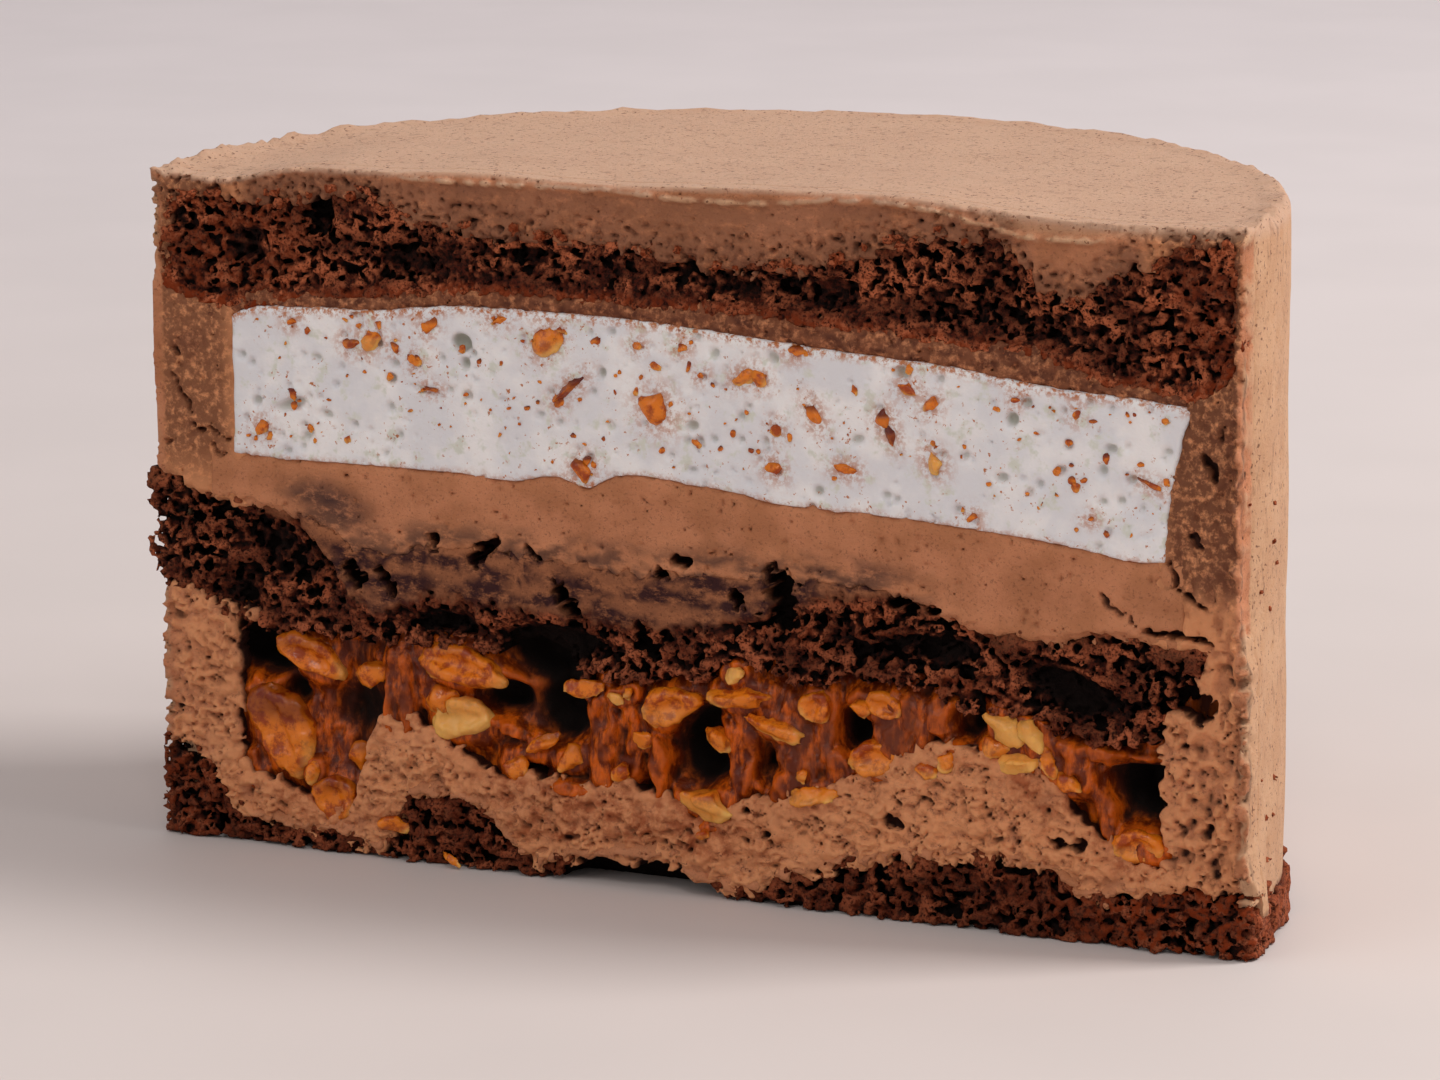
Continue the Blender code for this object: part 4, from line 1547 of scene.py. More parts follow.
def mousse(noise: Noise, x: Array, z: Array) -> Array:
    """Depth of torn, porous cream: flakes with cracks between them, and a broken, grainy face.

    Args:
        noise: The layer's own noise.
        x: Places along the cut.
        z: Heights.

    Returns:
        Further depth in millimetres.
    """
    bend = 1.6 * noise.smooth(x / 3.0, 0 * x + 4.0, z / 3.0)
    swell = noise.rough((x + bend) / 5.0, 0 * x, (z + bend) / 3.6, 2, 0.5)
    flakes = noise.rough((x + bend) / 1.9, 0 * x + 2.0, (z - bend) / 1.2, 4, 0.7)
    cracks = ease(np.abs(noise.rough((x - bend) / 4.0, 0 * x + 9, z / 3.0, 4, 0.65)), 0.06, 0.0)
    cracks = cracks * ease(noise.smooth(x / 5.0, 0 * x + 5.0, z / 5.0), -0.05, 0.25)
    pits = ease(noise.rough(x / 1.2, 0 * x + 13.0, z, 2, 0.6), 0.26, 0.44)
    patch = ease(noise.smooth(x / 6.0, 0 * x + 15.0, z / 5.0), -0.25, 0.3)
    depth = 0.5 + 1.3 * swell + (0.7 + 1.0 * patch) * flakes
    return depth + 1.2 * cracks + 0.8 * pits * (0.2 + 0.8 * patch)


@dataclass
class MiddleCream(CreamLayer):
    """The cream between the middle sponge and the nougat."""

    name: str = "middle_cream"
    node: str = "cream_middle"
    span: Pair = (37.0, 60.0)
    fray: Pair = (1.3, 0.15)
    budget: int = 32000
    seed: int = 51

    def low(self, x: Array) -> Array:
        """The cream's underside on the sponge."""
        return Outline.sponge_head(x)

    def high(self, x: Array) -> Array:
        """Its top under the nougat."""
        return Outline.nougat_foot(x) - self.over - 0.1

    def looks(self, x: Array, y: Array, z: Array) -> dict[str, Array]:
        """Crumb is smeared up over the lower half of the cream."""
        return {"smear": smeared(x, z)}


@dataclass
class BandCream(CreamLayer):
    """The thin cream between the nougat and the top sponge."""

    name: str = "band_cream"
    node: str = "cream_band"
    spacing: float = 0.34
    torn: float = 0.3
    over: float = 0.35
    span: Pair = (69.0, 82.0)
    fray: Pair = (0.15, 0.8)
    budget: int = 24000
    seed: int = 57

    def low(self, x: Array) -> Array:
        """The band's underside on the nougat."""
        return Outline.nougat_head(x) + 0.3 + 0.5 * self.noise.smooth(x / 1.3, 0 * x, 0 * x)

    def high(self, x: Array) -> Array:
        """Its top under the sponge."""
        return np.maximum(Outline.top_sponge_foot(x), Outline.nougat_head(x) + 1.3)

    def looks(self, x: Array, y: Array, z: Array) -> dict[str, Array]:
        """Crumb is smeared over the band, caramel tints it, and the dusk mark darkens the whole band."""
        smear = ease(self.noise.rough(x / 2.5, y, z, 3, 0.6), -0.2, 0.4)
        return {"smear": 0.3 * smear, "stain": np.full_like(x, 0.45), "dusk": 0.7 + 0.3 * smear}


@dataclass
class BedCream(CreamLayer):
    """The torn cream bed under the caramel, stained by it."""

    name: str = "bed_cream"
    node: str = "cream_bed"
    spacing: float = 0.34
    torn: float = 1.0
    fine_depth: float = 4.5
    depth: float = 7.0
    span: Pair = (0.0, 28.0)
    fray: Pair = (2.6, 2.0)
    budget: int = 76000
    seed: int = 61

    def low(self, x: Array) -> Array:
        """The bed's underside on the sponge."""
        return Outline.base_top(x)

    def high(self, x: Array) -> Array:
        """Its ragged top under the caramel."""
        return Outline.bed_top(x) + 1.5 * self.noise.rough(x / 2.4, 0 * x, 0 * x + 1.5, 3, 0.6)

    def looks(self, x: Array, y: Array, z: Array) -> dict[str, Array]:
        """Caramel stains the bed in patches, most at its left half."""
        patchy = ease(self.noise.rough(x / 3, y / 3, z / 2.4, 3, 0.6), -0.25, 0.35)
        runs = 1.4 * mound(x, z, (-16, 9.0), (34, 8)) + mound(x, z, (53, 21), (12, 9))
        runs = runs + 0.7 * mound(x, z, (-56, 6), (22, 7))
        runs = runs + 0.9 * mound(x, z, (4, 9), (20, 6)) + 0.5 * mound(x, z, (62, 13), (10, 8))
        under = 0.35 * ease(self.high(x) - z, 3.0, 0.5)
        return {"stain": np.clip((runs + under) * (0.25 + 0.75 * patchy), 0, 0.85)}


@dataclass(frozen=True)
class Bubble:
    """A hollow in the nougat: centre and whole size in millimetres, and tilt in degrees."""

    x: float
    z: float
    long: float
    wide: float
    tilt: float = 0.0
    deep: float = 1.0


@dataclass
class Nougat(Layer):
    """White nougat full of small bubbles."""

    name: str = "nougat_foam"
    node: str = "nougat"
    slot: Slot = Slot.NOUGAT
    radius: float = 72.4
    spacing: float = 0.38
    span: Pair = (48.0, 80.0)
    reach: Pair = (-73.0, 75.0)
    fray: Pair = (0.15, 0.15)
    budget: int = 50000
    seed: int = 71
    bubbles: tuple[Bubble, ...] = (
        Bubble(-32.1, 73.0, 2.5, 3.2, 70), Bubble(-31.6, 70.2, 1.6, 2.0), Bubble(-42.3, 69.4, 1.7, 1.4),
        Bubble(-58.6, 62.6, 6.0, 1.7, 18), Bubble(-65.5, 60.4, 1.0, 1.2),
        Bubble(-53.0, 61.7, 2.4, 1.5, -20), Bubble(-37.5, 66.0, 8.0, 0.8, -14, 0.8),
        Bubble(-11.2, 70.4, 1.4, 1.8), Bubble(2.0, 64.3, 2.2, 1.8), Bubble(25.8, 64.3, 2.6, 1.5, 20),
        Bubble(46.2, 60.9, 2.2, 1.6), Bubble(1.9, 58.4, 2.0, 1.2), Bubble(9.2, 63.0, 1.3, 1.3),
        Bubble(47.6, 68.6, 2.0, 2.2), Bubble(61.3, 65.8, 2.0, 1.5), Bubble(64.1, 62.1, 1.8, 1.6),
        Bubble(32.2, 73.6, 2.6, 2.0), Bubble(37.8, 63.3, 2.0, 1.2), Bubble(13.7, 74.4, 1.8, 1.5),
        Bubble(54.5, 62.6, 1.6, 1.3), Bubble(69.0, 66.0, 1.8, 1.4), Bubble(62.7, 59.2, 1.5, 1.5),
        Bubble(49.6, 70.9, 1.8, 1.8), Bubble(-26.0, 65.6, 1.4, 1.0), Bubble(-9.6, 76.0, 1.6, 1.3),
        Bubble(-48.0, 75.6, 2.4, 1.2), Bubble(66.0, 55.0, 3.0, 0.8, 25, 0.6),
    )
    small_bubbles: int = 420

    def low(self, x: Array) -> Array:
        """The nougat's underside."""
        return Outline.nougat_foot(x)

    def high(self, x: Array) -> Array:
        """Its top."""
        return Outline.nougat_head(x)

    def carve(self, x: Array, y: Array, z: Array) -> Array:
        """A nearly flat face with bubbles let into it."""
        noise = self.noise
        recess = 0.34 + 0.16 * noise.rough(x / 7.0, y * 0, z / 5.0, 3, 0.5)
        ragged = 0.12 * noise.smooth(x / 2.4, y / 3, z / 2.4) - 0.1
        shape = np.maximum(self.body(x, y, z, ragged), recess - y)
        left = 0.5 * noise.smooth(x * 0, y / 3, z / 4)
        shape = np.maximum(shape, Outline.nougat_left + left - x)
        right = 0.5 * noise.smooth(x * 0, y / 3, z / 3 + 9)
        shape = np.maximum(shape, x - Outline.nougat_right(z) + right)
        draw = np.random.default_rng(self.seed)
        holes = list(self.bubbles)
        for _ in range(self.small_bubbles):
            size = 0.5 + 1.3 * draw.random() ** 3
            spot = (draw.uniform(-66, 70), draw.uniform(52, 77))
            holes.append(Bubble(*spot, size, size * draw.uniform(0.7, 1.0), draw.uniform(0, 180)))
        for bubble in holes:
            self.hollow(shape, bubble, x, y, z)
        return shape

    def marks(self, points: Array) -> dict[str, Array]:
        """Bubbles get painted shade, grey-green, and nuts leave rusty stains round them."""
        x, y, z = points.T
        stain = np.zeros_like(x)
        for nut in Nuts.nougat:
            size = (nut.length + 2.2, nut.width + 2.0)
            stain = np.maximum(stain, 0.75 * mound(x, z, (nut.x, nut.z), size, nut.tilt))
        edge = ease(z - self.low(x), 1.0, 0.1) * 0.5 + ease(self.high(x) - z, 1.6, 0.2) * 0.95
        # deep: painted shade, grey-green, inside the bubbles that reach deeper behind the cut.
        return {"deep": ease(y, 0.75, 1.5), "stain": np.clip(stain + edge, 0, 1)}

    @staticmethod
    def hollow(shape: Array, bubble: Bubble, x: Array, y: Array, z: Array) -> None:
        """Lets one bubble into the field, near its own place only."""
        reach = bubble.long / 2 + 0.8
        i = np.searchsorted(x[:, 0, 0], [bubble.x - reach, bubble.x + reach])
        k = np.searchsorted(z[0, 0], [bubble.z - reach, bubble.z + reach])
        part = (slice(*i), slice(None), slice(*k))
        along, across = turned(x[part[0]] - bubble.x, z[:, :, part[2]] - bubble.z, bubble.tilt)
        along, across = along / (bubble.long / 2), across / (bubble.wide / 2)
        deep = (y - 0.3) / (bubble.wide / 2 * bubble.deep + 0.25)
        hollow = (1 - np.sqrt(along**2 + across**2 + deep**2)) * bubble.wide / 2
        shape[part] = np.maximum(shape[part], hollow)


@dataclass(frozen=True)
class Cave:
    """A dark hole in the caramel: centre, size, depth and tilt in degrees."""

    x: float
    z: float
    wide: float
    tall: float
    deep: float
    tilt: float = 0.0

    def share(self, x: Array, z: Array) -> Array:
        """How far each place lies in the hole, from 0 to 1."""
        return mound(x, z, (self.x, self.z), (self.wide, self.tall), self.tilt)


@dataclass(frozen=True)
class Run:
    """A run of caramel that comes forward: centre, size, how near the cut, tilt, and how hazy."""

    x: float
    z: float
    wide: float
    tall: float
    near: float
    tilt: float = 0.0
    haze: float = 0.0

    def share(self, x: Array, z: Array) -> Array:
        """How far each place lies in the run, from 0 to 1."""
        return mound(x, z, (self.x, self.z), (self.wide, self.tall), self.tilt)


@dataclass
class Caramel(Layer):
    """Sticky caramel between the nuts, in runs, sheets and caves."""

    name: str = "caramel_mass"
    node: str = "caramel_nuts"
    slot: Slot = Slot.CARAMEL
    radius: float = 76.0
    spacing: float = 0.36
    depth: float = 14.0
    fine_depth: float = 7.0
    reach: Pair = (-77.0, 77.0)
    span: Pair = (2.0, 37.0)
    budget: int = 80000
    seed: int = 83
    wall: float = 4.7
    caves: tuple[Cave, ...] = (
        Cave(-65.6, 27.6, 8.0, 5.6, 8.0, -25), Cave(-20.4, 30.6, 12.0, 7.0, 8.0, -8),
        Cave(-19.6, 22.6, 6.0, 6.5, 8.0), Cave(1.6, 20.0, 5.6, 10.5, 8.5),
        Cave(24.2, 24.8, 3.6, 5.5, 6.0), Cave(65.2, 20.8, 8.0, 6.5, 8.0, -25),
        Cave(-50.6, 20.5, 7.0, 13.0, 2.2), Cave(43.6, 18.8, 4.0, 3.0, 5.0),
        Cave(-28.6, 24.2, 7.0, 4.0, 6.0), Cave(-60.6, 21.6, 3.5, 3.5, 4.0),
        Cave(-23.6, 14.2, 3.0, 2.4, 4.0), Cave(11.2, 18.0, 2.4, 5.0, 4.0),
        Cave(-6.6, 13.6, 3.0, 3.0, 3.0), Cave(40.6, 27.4, 4.0, 4.0, 4.0),
    )
    runs: tuple[Run, ...] = (
        Run(-43.6, 23.0, 5.2, 15.0, 1.4, 0, 0.5), Run(-57.0, 20.0, 5.0, 16.0, 3.6),
        Run(-54.5, 14.0, 7.0, 8.0, 3.2), Run(-40.0, 25.0, 8.0, 8.0, 2.6),
        Run(-12.4, 20.0, 5.0, 15.0, 1.3, 0, 0.2), Run(-8.4, 20.0, 3.6, 15.0, 1.9),
        Run(-24.0, 15.8, 10.0, 4.0, 2.0, 35), Run(-27.0, 20.0, 9.0, 2.0, 2.2, -20),
        Run(-4.5, 17.0, 3.4, 10.0, 1.6), Run(7.6, 20.0, 5.5, 13.0, 2.4),
        Run(16.5, 23.0, 11.0, 12.0, 2.2, 0, 0.8), Run(14.0, 16.0, 9.0, 5.0, 1.8),
        Run(31.4, 25.6, 8.5, 11.0, 1.3, 0, 0.85), Run(22.0, 19.0, 4.0, 8.0, 2.0),
        Run(36.8, 28.0, 6.0, 6.0, 1.6, 0, 0.5), Run(54.5, 23.4, 13.0, 7.0, 1.2, -22, 0.3),
        Run(61.0, 24.9, 12.0, 2.6, 0.9, -10, 0.5), Run(65.5, 13.4, 9.0, 5.0, 1.6),
        Run(-15.0, 28.0, 8.0, 4.0, 1.2), Run(-17.0, 13.0, 8.0, 2.4, 0.9, 0, 0.4),
        Run(60.0, 17.0, 3.4, 8.0, 2.0, 12, 0.4), Run(-66.6, 21.0, 5.0, 6.0, 2.6),
        Run(-67.0, 10.0, 5.0, 7.0, 1.6, 0, 0.6),
    )

    def low(self, x: Array) -> Array:
        """The caramel's underside, sunk a little in the bed."""
        return Outline.bed_top(x) - 1.6

    def high(self, x: Array) -> Array:
        """Its top, sunk a little in the sponge."""
        return Outline.sponge_foot(x) + 1.8

    def face(self, x: Array, z: Array) -> Array:
        """How deep the caramel lies behind the cut at each place."""
        noise = self.noise
        xs = x + 1.1 * noise.smooth(x / 4.0, 0 * x, z / 4.0)
        zs = z + 0.8 * noise.smooth(x / 3.0 + 9, 0 * x, z / 3.0)
        recess = np.full(xs.shape, self.wall, np.float32)
        for run in self.runs:
            share = run.share(xs, zs)
            recess = np.minimum(recess, self.wall + (run.near - self.wall) * np.minimum(1.0, share * 1.35))
        recess = recess + 1.5 * noise.rough(xs / 2.8, 0 * x, zs / 4.6, 4, 0.55)
        for nut in Nuts.filling:
            share = mound(x, z, (nut.x, nut.z), (nut.length + 2.2, nut.width + 2.2), nut.tilt)
            near = nut.deep + 0.5
            recess = np.minimum(recess, self.wall + (near - self.wall) * np.minimum(1.0, share * 1.25))
        for cave in self.caves:
            recess = recess + cave.deep * cave.share(xs, zs)
        recess = np.minimum(recess, 11.0 + 1.5 * noise.smooth(xs / 3.0, 0 * x + 4, zs / 3.0))
        return np.where(np.abs(x) > 71.0, np.maximum(recess, 5.6), recess)

    def carve(self, x: Array, y: Array, z: Array) -> Array:
        """A wall behind the cut, brought forward by runs and pushed back by caves."""
        noise = self.noise
        streaks = 0.55 * noise.rough(x / 0.95, y / 3, z / 5.0, 2, 0.5)
        lumps = 0.35 * noise.rough(x / 1.9, y / 1.9, z / 1.9, 2, 0.6)
        return np.maximum(self.body(x, y, z), np.maximum(self.face(x, z), 0.4) + streaks + lumps - y)

    def marks(self, points: Array) -> dict[str, Array]:
        """Haze where cream or crumb is mixed into the caramel, painted shade in the caves and hollows, and
        a painted highlight on what stands out.
        """
        x, y, z = points.T
        haze = np.zeros_like(x)
        for run in self.runs:
            if run.haze:
                haze = np.maximum(haze, run.haze * run.share(x, z))
        patch = ease(self.noise.rough(x / 2, y / 2, z / 3, 3, 0.6), -0.5, 0.2)
        near = stand_out(points, 0.9)
        # Painted shade deeper behind the cut and in hollows.
        deep = np.maximum(ease(y, 3.5, 7.0), 0.85 * ease(near, -0.1, -1.0))
        haze = 0.8 * haze * patch * ease(y, 5.0, 2.0)
        # crest: painted highlight on caramel that stands out.
        return {"haze": haze, "deep": deep, "crest": ease(near, 0.05, 0.8)}


@dataclass(frozen=True)
class Nut:
    """A piece of peanut: centre, length, width, tilt in degrees, paleness, depth, thickness and kind."""

    x: float
    z: float
    length: float
    width: float
    tilt: float
    pale: float = 0.0
    deep: float = 2.0
    thick: float = 4.0
    kind: NutKind = NutKind.CHIP


HALF = NutKind.HALF


@dataclass
class Nuts:
    """Peanut halves and chips in the caramel, and chips in the nougat."""

    seed: int = 97
    # rim: how strong the painted highlight on the nuts' lower rims is.
    rim: float = 0.55
    filling: ClassVar[tuple[Nut, ...]] = (
        Nut(-62.6, 16.2, 14.0, 8.6, -62, -0.1, 1.8, 6.0, HALF),
        Nut(-57.2, 27.0, 10.5, 4.8, -28, 0.0, 1.6, 5.0, HALF),
        Nut(-54.2, 7.4, 6.8, 6.0, -70, 0.0, 1.6, 5.0, HALF),
        Nut(-33.6, 27.6, 14.2, 5.4, -10, 0.05, 1.2, 6.0, HALF),
        Nut(-33.8, 20.4, 9.0, 5.6, 8, 0.75, 1.6, 5.0, HALF),
        Nut(-36.8, 23.6, 6.0, 4.6, -20, 0.0, 2.0, 4.0), Nut(-21.7, 18.4, 5.6, 2.2, 38, 0.0, 1.6, 2.4),
        Nut(-17.6, 16.8, 5.0, 3.6, 30, 0.1, 1.8, 3.0), Nut(-25.6, 14.8, 3.6, 4.6, 60, 0.1, 1.6, 3.0),
        Nut(-2.1, 25.2, 9.0, 5.2, 22, 0.25, 1.2, 5.0, HALF),
        Nut(8.2, 27.8, 8.8, 3.8, -2, 0.15, 1.2, 4.0), Nut(7.5, 31.1, 3.6, 2.2, 25, 0.8, 0.8, 2.4),
        Nut(13.2, 24.2, 9.0, 2.6, -18, 0.2, 1.4, 3.0),
        Nut(19.4, 27.6, 4.2, 4.4, 70, 0.1, 1.6, 3.6, HALF),
        Nut(29.2, 28.4, 5.4, 3.8, -10, 0.15, 1.0, 3.6, HALF),
        Nut(25.6, 28.4, 2.4, 3.2, 70, 0.0, 1.2, 2.6),
        Nut(27.7, 21.1, 7.0, 4.8, 12, 0.25, 1.2, 4.4, HALF),
        Nut(2.9, 13.0, 8.2, 4.4, -8, 0.55, 0.9, 4.4), Nut(4.9, 22.0, 3.4, 4.4, 60, 0.2, 1.4, 3.0),
        Nut(17.2, 18.2, 2.0, 2.0, 30, 0.4, 1.2, 1.8), Nut(17.9, 15.4, 8.6, 2.8, 14, 0.4, 1.2, 3.4),
        Nut(46.6, 27.6, 6.4, 5.4, -50, 0.7, 1.0, 5.0), Nut(50.2, 27.0, 5.0, 3.8, -32, 0.75, 0.7, 4.2),
        Nut(47.9, 23.0, 6.2, 3.0, 14, 0.7, 0.9, 3.6), Nut(45.0, 25.0, 3.0, 4.4, 80, 0.3, 1.2, 3.2),
        Nut(52.5, 23.6, 4.4, 2.0, -65, 0.1, 1.0, 2.2), Nut(35.4, 20.6, 3.6, 2.6, 20, 0.35, 0.8, 2.4),
        Nut(38.4, 22.6, 3.4, 2.4, 60, 0.2, 0.8, 2.4), Nut(65.1, 13.2, 7.4, 4.6, 8, 0.3, 1.4, 4.0, HALF),
        Nut(2.9, 8.8, 2.8, 1.4, 10, 0.3, 0.4, 1.4), Nut(-10.0, 26.1, 1.4, 3.0, 80, 0.6, 0.8, 1.6),
        Nut(-8.1, 26.9, 1.8, 1.6, 30, 0.5, 0.8, 1.6), Nut(-14.8, 27.2, 5.4, 2.6, 5, 0.0, 1.2, 3.0),
        Nut(-44.3, 5.0, 5.4, 3.0, 10, 0.15, 0.9, 3.0), Nut(-35.1, 1.3, 3.4, 1.5, -40, 0.1, 0.2, 1.4),
        Nut(-57.0, 11.0, 3.0, 2.2, 70, 0.3, 1.0, 2.2), Nut(-50.4, 13.4, 4.4, 3.8, 70, 0.0, 3.2, 3.4),
        Nut(-48.0, 25.6, 5.0, 3.6, 20, 0.0, 3.0, 3.4), Nut(55.4, 21.2, 4.0, 3.0, -20, 0.0, 1.2, 2.6),
        Nut(-9.5, 16.0, 3.2, 2.6, 40, 0.0, 1.6, 2.6), Nut(-6.4, 20.8, 2.6, 3.6, 80, 0.1, 1.8, 2.4),
    )
    nougat: ClassVar[tuple[Nut, ...]] = (
        Nut(-3.1, 66.1, 5.8, 5.2, -50, 0.1, 0.6, 3.4), Nut(-15.8, 68.2, 6.0, 1.8, 38, -0.5, 0.5, 2.4),
        Nut(-17.4, 66.4, 3.0, 1.5, 75, -0.5, 0.6, 2.4), Nut(-19.3, 74.1, 5.2, 3.6, 40, 0.2, 0.5, 2.8),
        Nut(-14.1, 57.0, 3.4, 3.4, 60, -0.1, 0.4, 2.8), Nut(-46.2, 72.4, 4.4, 2.6, 50, 0.45, 0.4, 2.2),
        Nut(-49.0, 71.6, 2.0, 2.6, 80, -0.3, 0.4, 2.0), Nut(-42.2, 71.6, 1.4, 2.0, 70, -0.2, 0.3, 1.6),
        Nut(-37.0, 74.9, 2.8, 2.2, 50, -0.1, 0.4, 2.0), Nut(-39.4, 70.1, 1.8, 2.4, 80, 0.1, 0.3, 1.6),
        Nut(-36.6, 66.3, 2.2, 1.1, -14, -0.4, 0.4, 1.6), Nut(11.5, 71.4, 2.2, 3.4, 60, 0.1, 0.3, 1.8),
        Nut(9.6, 71.3, 3.6, 2.0, 25, 0.25, 0.3, 1.8), Nut(19.9, 67.0, 4.4, 1.8, -60, -0.1, 0.4, 2.0),
        Nut(29.8, 67.2, 3.0, 2.2, 70, -0.3, 0.5, 2.0), Nut(30.8, 65.4, 3.4, 1.6, -70, -0.6, 0.5, 2.0),
        Nut(36.4, 69.7, 2.6, 1.8, 60, 0.1, 0.3, 1.6), Nut(36.7, 62.2, 3.4, 2.4, -60, 0.65, 0.4, 2.2),
        Nut(14.0, 59.6, 3.0, 2.2, -30, 0.0, 0.3, 1.6), Nut(24.3, 60.2, 1.4, 3.8, 85, -0.1, 0.3, 1.4),
        Nut(0.6, 74.6, 1.8, 1.2, 20, 0.0, 0.3, 1.2), Nut(-26.4, 76.4, 2.4, 1.6, 10, 0.1, 0.4, 1.6),
        Nut(48.2, 71.2, 1.4, 1.0, 20, 0.0, 0.2, 1.0), Nut(56.5, 69.9, 1.4, 1.2, 60, 0.1, 0.2, 1.0),
        Nut(66.8, 61.6, 4.2, 0.9, -22, -0.3, 0.3, 1.2), Nut(-63.2, 59.0, 2.4, 2.2, 60, 0.1, 0.3, 1.8),
        Nut(17.3, 75.3, 3.0, 1.6, 20, -0.2, 0.3, 1.6), Nut(33.2, 71.6, 1.6, 3.0, 70, 0.0, 0.3, 1.4),
        Nut(-5.9, 74.5, 1.6, 1.2, 0, 0.2, 0.3, 1.2), Nut(3.5, 71.2, 1.2, 1.0, 40, 0.1, 0.2, 1.0),
        Nut(42.0, 55.3, 1.6, 1.2, 30, 0.0, 0.3, 1.2), Nut(58.6, 56.5, 1.0, 0.8, 0, 0.0, 0.2, 1.0),
        Nut(14.3, 64.7, 1.6, 1.8, 40, 0.1, 0.3, 1.2), Nut(-58.0, 74.0, 1.8, 1.0, 30, 0.0, 0.3, 1.2),
    )
    specks: int = 170
    blows: int = 9

    def half(self, nut: Nut, number: int) -> tuple[Array, Array]:
        """A peanut half: a bean with a flat side to the cut, a groove along it and a wrinkled skin.

        Args:
            nut: The piece.
            number: Its place in the list, which makes it differ from the others.

        Returns:
            Points about the nut's own middle, before it is turned, and faces.
        """
        gap = 0.44 * COARSER
        half = (nut.length / 2, nut.thick / 2, nut.width / 2)
        lines = [np.arange(-h - 1.2, h + 1.2 + gap, gap, np.float32) for h in half]
        u, v, w = lines[0][:, None, None], lines[1][None, :, None], lines[2][None, None, :]
        noise = Noise(self.seed + number)
        bend = 0.12 * nut.width * (1 - (u / half[0]) ** 2)
        narrow = 1 - 0.16 * u / half[0]
        round_ = np.sqrt((u / half[0]) ** 2 + (v / half[1]) ** 2 + ((w - bend) / (half[2] * narrow)) ** 2)
        shape = (round_ - 1) * min(half)
        groove = 0.5 * np.exp(-((w - bend) ** 2) / 0.5) * (1 - (u / half[0]) ** 2)
        hollow = 0.5 * ease(round_, 0.95, 0.5)
        shape = soft_max(shape, -0.3 * nut.thick - v + groove + hollow, 0.5)
        shape = shape + 0.6 * noise.rough(u / 3.2, v / 3.2, w / 3.2, 3, 0.5)
        shape = shape + 0.35 * noise.rough(u / 1.3, v / 1.3, w / 1.1, 2, 0.6)
        return surface_nets(walled(shape), (lines[0], lines[1], lines[2]))

    def chip(self, nut: Nut, number: int) -> tuple[Array, Array]:
        """A chopped nut: a lump cut flat by a few blows of the knife.

        Args:
            nut: The piece.
            number: Its place in the list, which makes it differ from the others.

        Returns:
            Points about the nut's own middle, before it is turned, and faces.
        """
        gap = max(0.22, min(nut.length, nut.width) / 8) * COARSER
        half = (nut.length / 2, nut.thick / 2, nut.width / 2)
        lines = [np.arange(-h - 0.8, h + 0.8 + gap, gap, np.float32) for h in half]
        u, v, w = lines[0][:, None, None], lines[1][None, :, None], lines[2][None, None, :]
        draw = np.random.default_rng(self.seed * 7 + number)
        noise = Noise(self.seed + number)
        shape = (np.sqrt((u / half[0]) ** 2 + (v / half[1]) ** 2 + (w / half[2]) ** 2) - 1.12) * min(half)
        for _ in range(self.blows):
            way = draw.normal(size=3)
            way /= np.linalg.norm(way)
            flat = way[0] * u / half[0] + way[1] * v / half[1] + way[2] * w / half[2]
            shape = np.maximum(shape, (flat - draw.uniform(0.55, 0.9)) * min(half))
        size = max(0.7, min(half))
        shape = shape + 0.26 * size * noise.rough(u / size, v / size, w / size, 3, 0.65)
        return surface_nets(walled(shape), (lines[0], lines[1], lines[2]))

    def place(self, nuts: Sequence[Nut], name: str, node: str, material: Material) -> Piece:
        """Makes one piece of many nuts.

        Args:
            nuts: The pieces.
            name: The new piece's name.
            node: The CAD node that it shows with.
            material: Its finish.

        Returns:
            The finished piece.
        """
        points, faces, pale = [], [], []
        draw = np.random.default_rng(self.seed)
        total = 0
        for number, nut in enumerate(nuts):
            make = self.half if nut.kind is NutKind.HALF else self.chip
            spots, quads = make(nut, number)
            lean = math.radians(draw.uniform(-16, 16))
            swing = math.radians(draw.uniform(-12, 12))
            turn = Matrix.Rotation(-math.radians(nut.tilt), 3, "Y") @ Matrix.Rotation(lean, 3, "X")
            turn = turn @ Matrix.Rotation(swing, 3, "Z")
            placed = spots @ np.array(turn.transposed(), np.float32)
            edge = np.hypot(spots[:, 0] / nut.length, spots[:, 2] / nut.width) * 2
            height = placed[:, 2] / max(nut.width, 0.6 * nut.length)
            # Painted highlight on the lower rim of each nut, and painted shade on its top.
            painted_light = self.rim * ease(edge, 0.7, 0.98) * ease(height, 0.3, -0.3)
            painted_light = painted_light - 0.5 * ease(height, -0.05, 0.42)
            pale.append(nut.pale + painted_light * (1.0 if nut.pale < 0.6 else 0.4))
            placed = placed + np.array([nut.x, nut.deep + 0.12 * nut.thick, nut.z], np.float32)
            placed[:, 1] = np.maximum(placed[:, 1], -0.6)
            placed[:, 2] = np.maximum(placed[:, 2], 0.05)
            points.append(placed)
            faces.append(quads + total)
            total += len(spots)
        marks = {"pale": np.concatenate(pale)}
        piece = mesh_object(name, np.concatenate(points), np.concatenate(faces), (), marks)
        return settle(piece, Slot.CARAMEL if node == "caramel_nuts" else Slot.NOUGAT, material, node)

